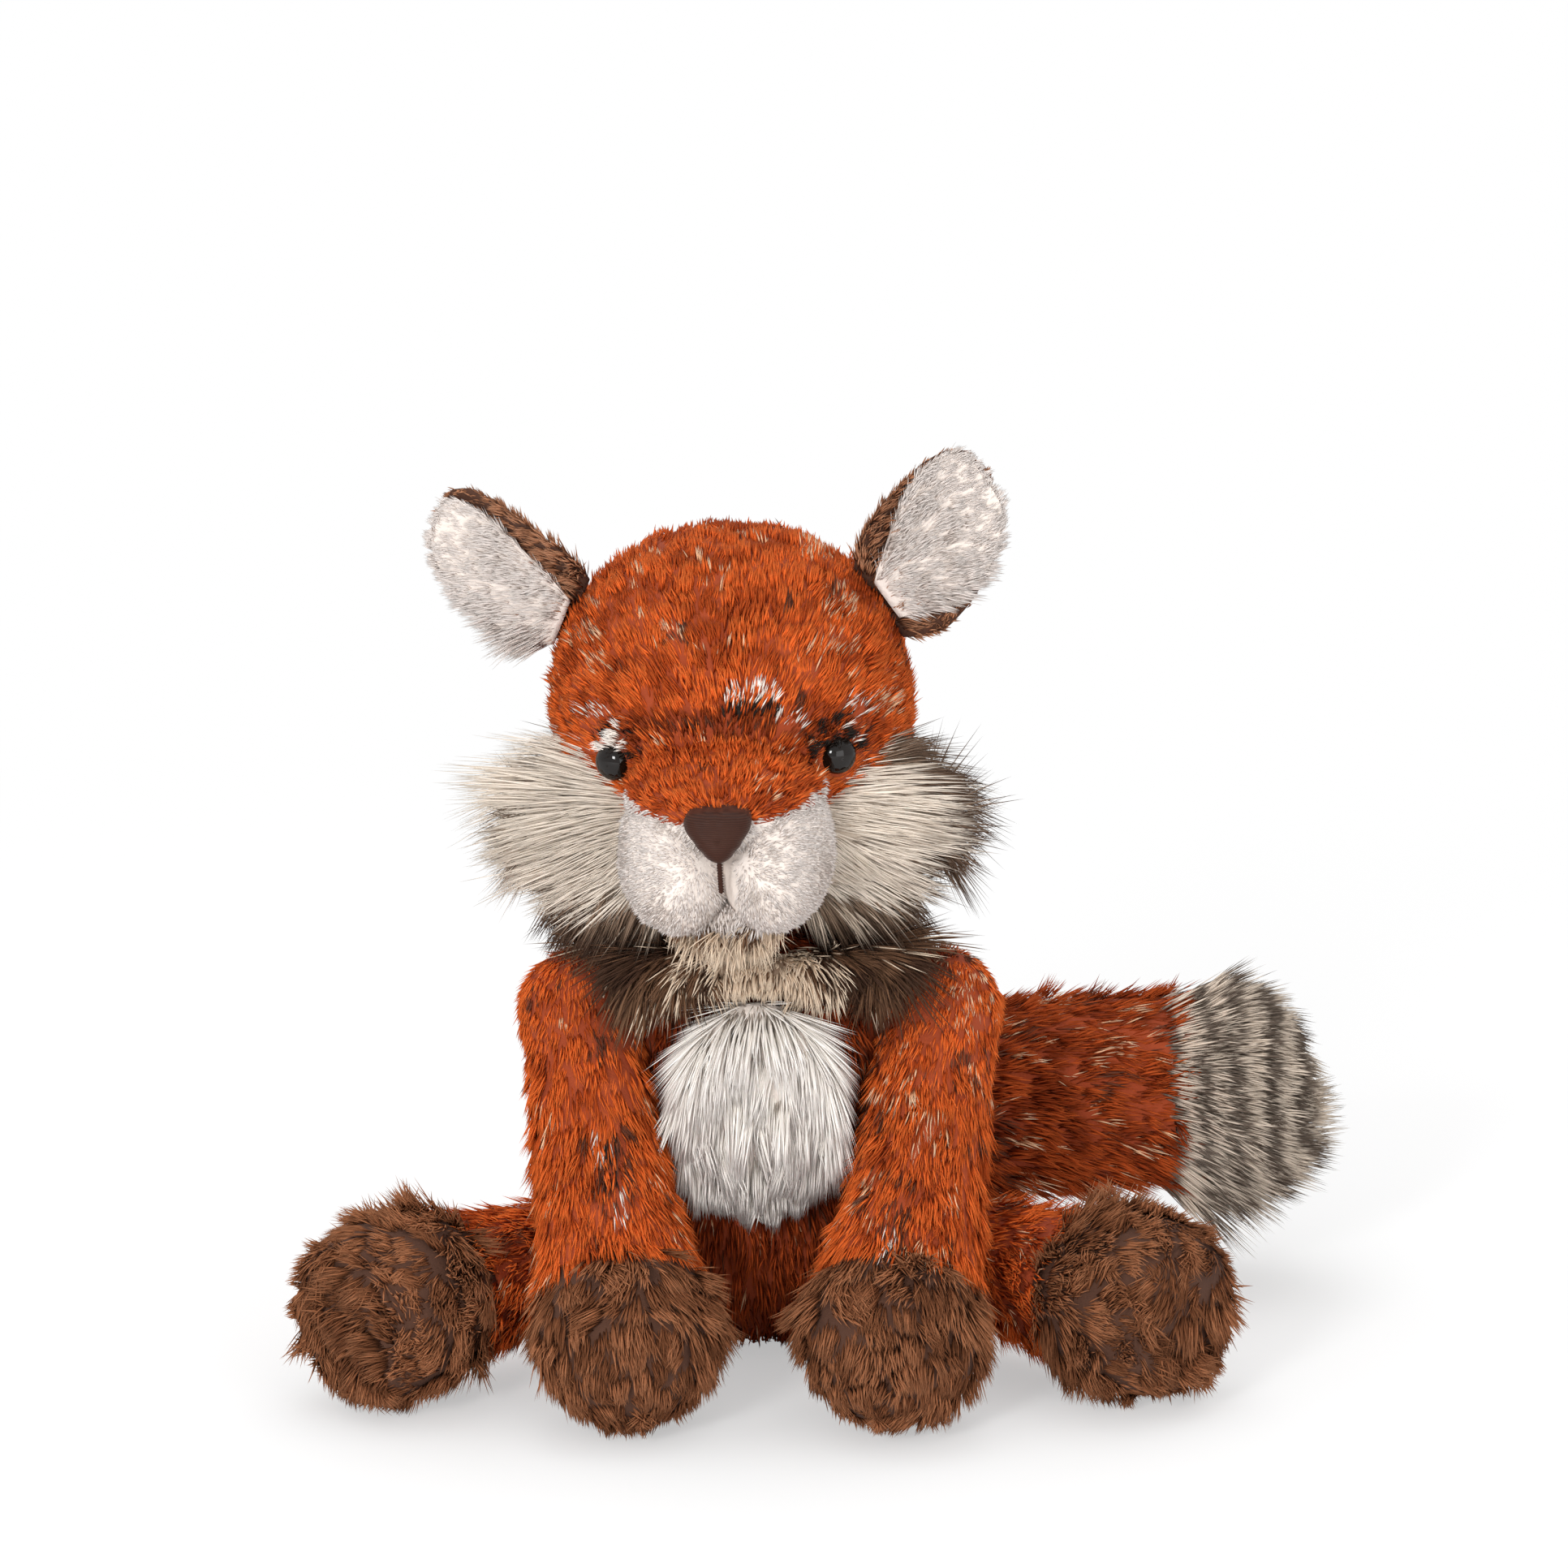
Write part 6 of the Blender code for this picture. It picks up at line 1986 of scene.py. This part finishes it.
@dataclass
class Face:
    """Eyes, nose and lip on the head."""

    head: Head
    eye_radius: float = 0.0058
    eye_dome: float = 0.0042
    eye_back: float = 0.0003
    eye_rim: float = 0.0008
    eye_rim_share: float = 0.97
    eye_seat: float = 0.0013
    shank_radius: float = 0.0016
    shank_length: float = 0.0150
    outward: float = math.radians(24.0)
    droop: float = math.radians(4.0)
    nose_half_width: float = 0.0104
    nose_height: float = 0.0158
    nose_top: float = 0.0520
    nose_start: float = 0.084
    nose_length: float = 0.0165
    nose_wall_share: float = 0.62
    nose_harmonics: int = 14
    nose_shares: Rows = (
        (0.0, 0.0), (0.5, 0.0), (0.86, -0.04), (1.0, -0.17), (0.93, -0.34), (0.72, -0.55), (0.48, -0.77),
        (0.22, -0.95), (0.0, -1.0),
    )
    thread_radius: float = 0.00075
    thread_turns: float = 40.0
    thread_start: tuple[float, float] = (-0.0945, 0.001)
    thread_end: tuple[float, float] = (-0.0915, -0.0105)

    def dress(self) -> None:
        """Both eyes, the nose and the lip thread."""
        for side in Side:
            self.eye(side)
        self.nose()
        self.lip()

    def eye(self, side: Side) -> None:
        """A glossy dome on its shank, turned round its own axis.

        The profile is a straight shank, a flat back and a quarter of an ellipse. It is seated on the
        skull's front, whose depth comes from the ellipse of the skull at the eye's height.

        Args:
            side: Side of the toy.
        """
        head = self.head
        wide, deep, back = head.shares_at(head.eye_height)
        root = math.sqrt(1 - (head.eye_spread / (wide * head.half_width)) ** 2)
        front = back * head.setback - deep * head.half_depth * root
        out = unit(side.mirror((math.sin(self.outward), -math.cos(self.outward), -math.sin(self.droop))))
        seat = side.mirror((head.eye_spread, front, head.eye_height)) - out * self.eye_seat
        angle = np.linspace(0, math.pi / 2, 20)
        shank, rim = self.shank_radius, self.eye_radius * self.eye_rim_share
        radius = np.concatenate([[0, shank, shank, rim], self.eye_radius * np.cos(angle)])
        height = np.concatenate([
            [-self.shank_length, -self.shank_length, self.eye_back, self.eye_back],
            self.eye_rim + self.eye_dome * np.sin(angle),
        ])
        up = unit(np.array(UPWARD) - out * out[2])
        across = np.cross(up, out)
        turn = np.linspace(0, math.tau, 48, endpoint=False)[None, :, None]
        ring = across * np.cos(turn) + up * np.sin(turn)
        points = seat + out * height[:, None, None] + ring * radius[:, None, None]
        item = Surface(points).moved(head.matrix).mesh(f"eye_dome_{side.word}")
        settle(item, EYE_GLOSS, "head", "eye_gloss", f"eye_{side.word}")

    def nose(self) -> None:
        """A padded satin triangle with its point down.

        The outline's radius is that of a rounded triangle, without its high harmonics. Each ring is
        the outline scaled by the share of a wall, then of a dome, at its depth.
        """
        half = np.array(self.nose_shares)
        outline = np.concatenate([half, half[-2:0:-1] * [-1, 1]]) + [0, 0.5]
        outline = outline * [self.nose_half_width, self.nose_height]
        turn = np.linspace(0, math.tau, 96, endpoint=False)
        bearing = np.arctan2(outline[:, 1], outline[:, 0])
        radius = np.interp(turn, bearing, np.linalg.norm(outline, axis=1), period=math.tau)
        waves = np.fft.rfft(radius)
        waves[self.nose_harmonics :] = 0
        wall, bend = self.nose_wall_share, np.linspace(0.12, math.pi / 2, 14)
        depth = np.concatenate([np.linspace(0, wall, 5), wall + (1 - wall) * np.sin(bend)])[:, None]
        size = np.concatenate([np.linspace(0.96, 1.0, 5), np.cos(bend) ** 0.62])[:, None]
        ring = np.fft.irfft(waves, len(turn)) * size
        middle = self.nose_top - self.nose_height / 2
        back = -self.nose_start - depth * self.nose_length + 0 * ring
        points = np.stack([ring * np.cos(turn), back, middle + ring * np.sin(turn)], axis=-1)
        item = Surface(points).moved(self.head.matrix).mesh("nose_satin_pad")
        settle(item, NOSE_SATIN, "head", "nose_satin", "nose")

    def lip(self) -> None:
        """Twisted thread from the nose down the lip line.

        The spine runs straight down and back, and the radius swells with the twist's two plies and
        thins at both ends.
        """
        foot = self.nose_top - self.nose_height
        top, low = (np.array([0.0, y, foot + z]) for y, z in (self.thread_start, self.thread_end))
        share = np.linspace(0, 1, 60)[:, None]
        turn = np.linspace(0, math.tau, 16, endpoint=False)
        swell = self.thread_radius * (1 + 0.25 * np.cos(2 * (turn - share * self.thread_turns)))
        swell = swell * np.minimum(1, np.minimum(share, 1 - share) * 12 + 0.25)
        spine = (top + (low - top) * share)[:, None]
        points = spine + np.stack([swell * np.cos(turn), swell * np.sin(turn), 0 * swell], axis=-1)
        item = Surface(points).moved(self.head.matrix).mesh("lip_thread")
        settle(item, NOSE_SATIN, "head", "nose_satin", "lip_stitch")


@dataclass
class Ear:
    """A cupped ear: brown back and white lining on one roll."""

    side: Side
    rise: float
    face_down: float
    head: Head
    length: float = 0.057
    half_width: float = 0.0235
    back_thickness: float = 0.0032
    lining_thickness: float = 0.0026
    gap: float = 0.0003
    cup: float = 0.0085
    height: float = 0.0930
    setback: float = -0.006
    sink: float = 0.0012
    skew: float = 0.019
    inset: float = 0.0004
    back_shares: Rows = (
        (0.0, 0.62, 1.0, 0.16), (0.10, 0.82, 1.0, 0.62), (0.27, 0.97, 1.0, 1.0), (0.48, 1.0, 1.0, 0.95),
        (0.68, 0.93, 0.95, 0.72), (0.84, 0.74, 0.85, 0.42), (0.95, 0.44, 0.66, 0.15), (0.965, 0.0, 0.5, 0.0),
    )
    lining_shares: Rows = (
        (0.060, 0.74, 0.8, 0.45), (0.115, 0.84, 0.8, 0.66), (0.27, 0.97, 1.0, 1.0), (0.48, 1.0, 1.0, 0.95),
        (0.68, 0.93, 1.0, 0.72), (0.84, 0.74, 0.85, 0.42), (0.95, 0.44, 0.7, 0.15), (0.955, 0.0, 0.5, 0.0),
    )
    back_high_shares: tuple[float, ...] = (1.04, 1.04, 0.99, 0.97, 0.97)
    high_shares: tuple[float, ...] = (0.40, 0.60, 0.85, 0.97, 1.0)
    low_shares: tuple[float, ...] = (0.40, 0.62, 0.82, 0.96, 1.0)
    low_cut: float = 1.0
    reach: float = 0.93

    @property
    def matrix(self) -> Array:
        """The ear's frame to the world, as the frame's own ear root has it."""
        head, wide = self.head, self.head.shares_at(self.height)[0]
        foot = self.side.mirror((wide * head.half_width - self.sink, self.setback, self.height))
        up = self.side.mirror((math.cos(self.rise), 0.0, math.sin(self.rise)))
        angle = self.side.value * self.face_down
        front = np.array([0.0, -1.0, 0.0])
        front = front * math.cos(angle) + np.cross(up, front) * math.sin(angle)
        own = np.eye(4)
        own[:3] = np.stack([np.cross(-front, up), -front, up, foot], axis=1)
        return head.matrix @ own

    def sheet(
        self, shares: Rows, thickness: float, offset: float, high: Sequence[float], low: Sequence[float]
    ) -> Surface:
        """One cupped cloth of the ear.

        A point lies at half width times a rounded cosine across, half thickness times a rounded sine
        in depth, and the cup bends it forward by the square of its distance from the middle line.

        Args:
            shares: Share of the length, of the half width, of the thickness and of the cup by row.
            thickness: Thickness of the sheet.
            offset: Depth of its middle.
            high: Shares of the half width along the upper edge, from the foot to the tip.
            low: The same along the lower edge.

        Returns:
            The sheet in the world.
        """
        rows = np.array(shares)
        root, tip = rows[[0, -1], 0]
        place = root + (tip - root) * (1 - (1 - np.linspace(0, 1, 48)) ** 1.6)
        wide, thick, cup = (np.interp(place, rows[:, 0], rows[:, column]) for column in (1, 2, 3))
        wide[2:-2] = np.convolve(wide, np.ones(5) / 5, mode="valid")
        spots = np.linspace(0, 1, len(high))
        below, above = (np.interp(place, spots, edge)[:, None] for edge in (low, high))
        place, wide, thick, cup = (row[:, None] for row in (place, wide, thick, cup))
        angle = np.linspace(0, math.tau, 56, endpoint=False)[None]
        u, w = np.cos(angle), np.sin(angle)
        edge = np.where(u * self.side.value > 0, below, above)
        across = wide * self.half_width * edge * np.sign(u) * np.abs(u) ** 0.75
        depth = thickness / 2 * thick * np.sign(w) * np.abs(w) ** 0.6
        bend = -cup * self.cup * (across / self.half_width) ** 2
        leaned = across - self.side.value * self.skew * place
        along = place * self.length * self.reach + 0 * across
        points = np.stack([leaned, bend + offset + depth, along], axis=-1)
        return Surface(points).moved(self.matrix)

    def edges(self, points: Array) -> tuple[Array, Array]:
        """Share along the ear, and across it as a share of the half width, downward positive.

        Args:
            points: Places in the world.

        Returns:
            The two shares, one number each for each place.
        """
        own = np.linalg.inv(self.matrix)
        local = points @ own[:3, :3].T + own[:3, 3]
        along = local[:, 2] / (self.length * self.reach)
        across = local[:, 0] + self.side.value * self.skew * along
        return along, self.side.value * across / self.half_width

    def dress(self) -> None:
        """Back, lining and their short pile."""
        cut = self.low_cut
        low = (cut, cut, cut, (1 + cut) / 2, 0.97)
        self.back(low)
        self.lining([share * edge for share, edge in zip(self.low_shares, low)])

    def back(self, low: Sequence[float]) -> None:
        """Brown back, with its lower edge's shares of the half width.

        Args:
            low: Shares of the half width along the lower edge.
        """
        surface = self.sheet(self.back_shares, self.back_thickness, 0.0, self.back_high_shares, low)
        coat = Coat(
            0.0048, 0.00066, 1.9, lift=0.24, along=1.0, tuft=0.0042, gather=0.4, droop=0.05, tumble=0.25
        )
        word, seed = self.side.word, 151 + self.side.value
        pelt = Pelt(f"ear_back_{word}", surface, f"ear_{word}", EAR_PLUSH, coat, self.inset, seed)
        pelt.back(fill=0.3)

        def trim(points: Array, chance: Array) -> Array:
            """Shorter at the tip and under the white edge, longer at the foot."""
            along, down = self.edges(points)
            share = np.interp(along, (0.0, 0.35, 0.60, 0.95), (1.7, 1.2, 1.0, 0.50))
            return share * np.where(down > 0.45, 0.55, 1.0)

        pelt.grow(trim=trim, mark=brown_kinds)

    def lining(self, low: Sequence[float]) -> None:
        """White lining, with its lower edge's shares of the half width.

        Args:
            low: Shares of the half width along the lower edge.
        """
        offset = -(self.back_thickness + self.lining_thickness) / 2 - self.gap
        surface = self.sheet(self.lining_shares, self.lining_thickness, offset, self.high_shares, low)
        coat = Coat(
            0.0066, 0.00052, 3.0, lift=0.20, along=0.5, down=0.20, tuft=0.0046, gather=0.28, droop=0.18,
            away=tuple(self.matrix[:3, 3] - self.matrix[:3, 2] * 0.012), tumble=0.14, unruly=0.16,
            ragged=0.35,
        )
        word, seed = self.side.word, 161 + self.side.value
        pelt = Pelt(f"ear_lining_{word}", surface, f"ear_{word}", WHITE_PLUSH, coat, self.inset, seed)
        pelt.back(fill=0.3)

        def trim(points: Array, chance: Array) -> Array:
            """Short at the tip, long wisps along the lower edge near the head."""
            along, down = self.edges(points)
            wisps = np.clip(down - 0.30, 0, 0.5) * np.interp(along, (0.20, 0.60), (1.0, 0.0))
            return np.interp(along, (0.5, 0.95), (1.0, 0.50)) * (1 + 2.4 * wisps)

        def smoke(points: Array, chance: Array) -> Array:
            """Grey strands in streaks, more at the lower edge and near the head."""
            along, down = self.edges(points)
            near = np.interp(along, (0.1, 0.6), (0.30, 0.02)) + 0.25 * (down > 0.5) * (along < 0.5)
            streak = wander(points * [1, 1, 0.4], 0.003, 171) * 0.7 + chance[:, 0] * 0.3
            return np.where(streak < 0.16 + near * 0.6, 1, 0)

        pelt.grow(trim=trim, mark=smoke)


@dataclass
class Studio:
    """Pale floor, soft light and the long-lens camera."""

    distance: float = 3.0
    sensor: float = 36.0
    view_width: float = 0.4946
    aim_right: float = 0.00742
    aim_up: float = 0.1733
    half_floor: float = 6.0
    lit_middle: Place = (0.0, 0.0, 0.15)
    surroundings: float = 0.89

    def build(self) -> None:
        """Floor, lights, world and camera."""
        self.floor()
        self.lamp("key", (-0.8, -2.0, 0.95), size=0.48, power=22.0)
        self.lamp("fill", (1.1, -2.0, 0.30), size=1.4, power=12.0)
        self.lamp("top", (0.1, 0.4, 1.9), size=1.4, power=6.0)
        self.world()
        self.camera()

    def floor(self) -> None:
        """A wide pale sheet under the toy, which fades to plain white away from it."""
        mesh = bpy.data.meshes.new("studio_floor")
        half = self.half_floor
        corners = [(-half, -half, 0), (half, -half, 0), (half, half, 0), (-half, half, 0)]
        mesh.from_pydata(corners, [], [(0, 1, 2, 3)])
        item = linked("studio_floor", mesh)
        material = bpy.data.materials.new("studio floor")
        nodes = Nodes(material)
        nodes.cover((0.93, 0.93, 0.93, 1.0), (0.93, 0.93, 0.93), roughness=0.9, specular=0.1)
        span = nodes.add("ShaderNodeVectorMath", operation="LENGTH")
        nodes.join(nodes.place(), span.inputs[0])
        fade = nodes.add("ShaderNodeMapRange", interpolation_type="SMOOTHSTEP")
        nodes.join(span.outputs["Value"], fade.inputs["Value"])
        for key, value in (("From Min", 0.20), ("From Max", 0.75), ("To Min", 0.45)):
            fade.inputs[key].default_value = value
        path = nodes.add("ShaderNodeLightPath")
        share = nodes.maths("MULTIPLY", path.outputs["Is Camera Ray"], fade.outputs["Result"])
        pale = nodes.add("ShaderNodeEmission")
        pale.inputs["Color"].default_value = (1.0, 1.0, 1.0, 1.0)
        both = nodes.add("ShaderNodeMixShader")
        for target, source in zip(both.inputs, (share, nodes.shader.outputs["BSDF"], pale.outputs[0])):
            nodes.join(source, target)
        nodes.join(both.outputs[0], nodes.output.inputs["Surface"])
        item.data.materials.append(material)

    def lamp(self, name: str, place: Place, size: float, power: float) -> None:
        """A square soft light that faces the toy.

        Its own -Z is tilted about X, then turned about Z onto the heading to the toy.

        Args:
            name: Name of the light.
            place: Where it stands.
            size: Side of the square.
            power: Power in watts.
        """
        light = bpy.data.lights.new(name, "AREA")
        light.size, light.energy = size, power
        item = linked(name, light)
        item.location = place
        aim = unit(np.array(self.lit_middle) - np.array(place))
        item.rotation_euler = (math.acos(-aim[2]), 0.0, math.atan2(-aim[0], aim[1]))

    def world(self) -> None:
        """White surroundings: plain white to the camera and through glass, softer as light."""
        world = bpy.data.worlds.new("studio")
        bpy.context.scene.world = world
        world.use_nodes = True
        tree = world.node_tree
        tree.nodes.clear()
        path = tree.nodes.new("ShaderNodeLightPath")
        seen = tree.nodes.new("ShaderNodeMath")
        seen.operation = "MAXIMUM"
        for target, ray in zip(seen.inputs, ("Is Camera Ray", "Is Transmission Ray")):
            tree.links.new(path.outputs[ray], target)
        mix = tree.nodes.new("ShaderNodeMixShader")
        tree.links.new(seen.outputs[0], mix.inputs[0])
        for target, strength in zip(mix.inputs[1:], (self.surroundings, 1.0)):
            white = tree.nodes.new("ShaderNodeBackground")
            white.inputs["Color"].default_value = (1.0, 1.0, 1.0, 1.0)
            white.inputs["Strength"].default_value = strength
            tree.links.new(white.outputs[0], target)
        output = tree.nodes.new("ShaderNodeOutputWorld")
        tree.links.new(mix.outputs[0], output.inputs["Surface"])

    def camera(self) -> None:
        """The photograph's view: a long lens, tilted down on the toy."""
        data = bpy.data.cameras.new("camera")
        data.sensor_width = self.sensor
        data.lens = self.sensor * self.distance / self.view_width
        data.clip_start = 0.1
        data.clip_end = 50.0
        item = linked("camera", data)
        up = np.array([0.0, math.sin(CAMERA_TILT), math.cos(CAMERA_TILT)])
        back = np.array([0.0, -math.cos(CAMERA_TILT), math.sin(CAMERA_TILT)])
        aim = np.array([self.aim_right, 0.0, 0.0]) + up * self.aim_up
        item.location = aim + back * self.distance
        item.rotation_euler = (math.pi / 2 - CAMERA_TILT, 0.0, 0.0)
        bpy.context.scene.camera = item
        bpy.context.scene.view_settings.view_transform = "Standard"


def finish_inside() -> int:
    """Give the pieces kept from the frame their pouch cloth and washer plastic.

    Returns:
        How many pieces were finished.
    """
    inner = {"eye_washer": WASHER_PLASTIC, "pellet": POUCH_CLOTH}
    count = 0
    for name in frame["nodes"]:
        for start, finish in inner.items():
            if name.startswith(start):
                materials = bpy.data.objects[name].data.materials
                materials.clear()
                materials.append(finish.material())
                count += 1
    return count


def main() -> None:
    """Build the fox piece by piece, then the studio."""
    logging.basicConfig(level=logging.INFO, format="%(name)s %(message)s")
    Torso().dress()
    head = Head()
    head.dress()
    Face(head).dress()
    Ear(Side.LEFT, math.radians(31.0), math.radians(12.0), head, low_cut=0.94).dress()
    Ear(
        Side.RIGHT, math.radians(23.0), math.radians(24.0), head, low_cut=0.74,
        high_shares=(0.30, 0.44, 0.58, 0.70, 0.85), low_shares=(1.0, 1.02, 1.02, 1.0, 1.0),
    ).dress()
    for side in Side:
        Arm(side).dress()
    Leg(Side.LEFT, math.radians(50.0)).dress()
    Leg(Side.RIGHT, math.radians(47.0)).dress()
    Tail().dress()
    LOG.info("%d inner pieces finished", finish_inside())
    Studio().build()
    total = sum(len(item.data.polygons) for item in bpy.data.objects if item.type == "MESH")
    LOG.info("whole scene: %d faces", total)


if __name__ == "__main__":
    main()
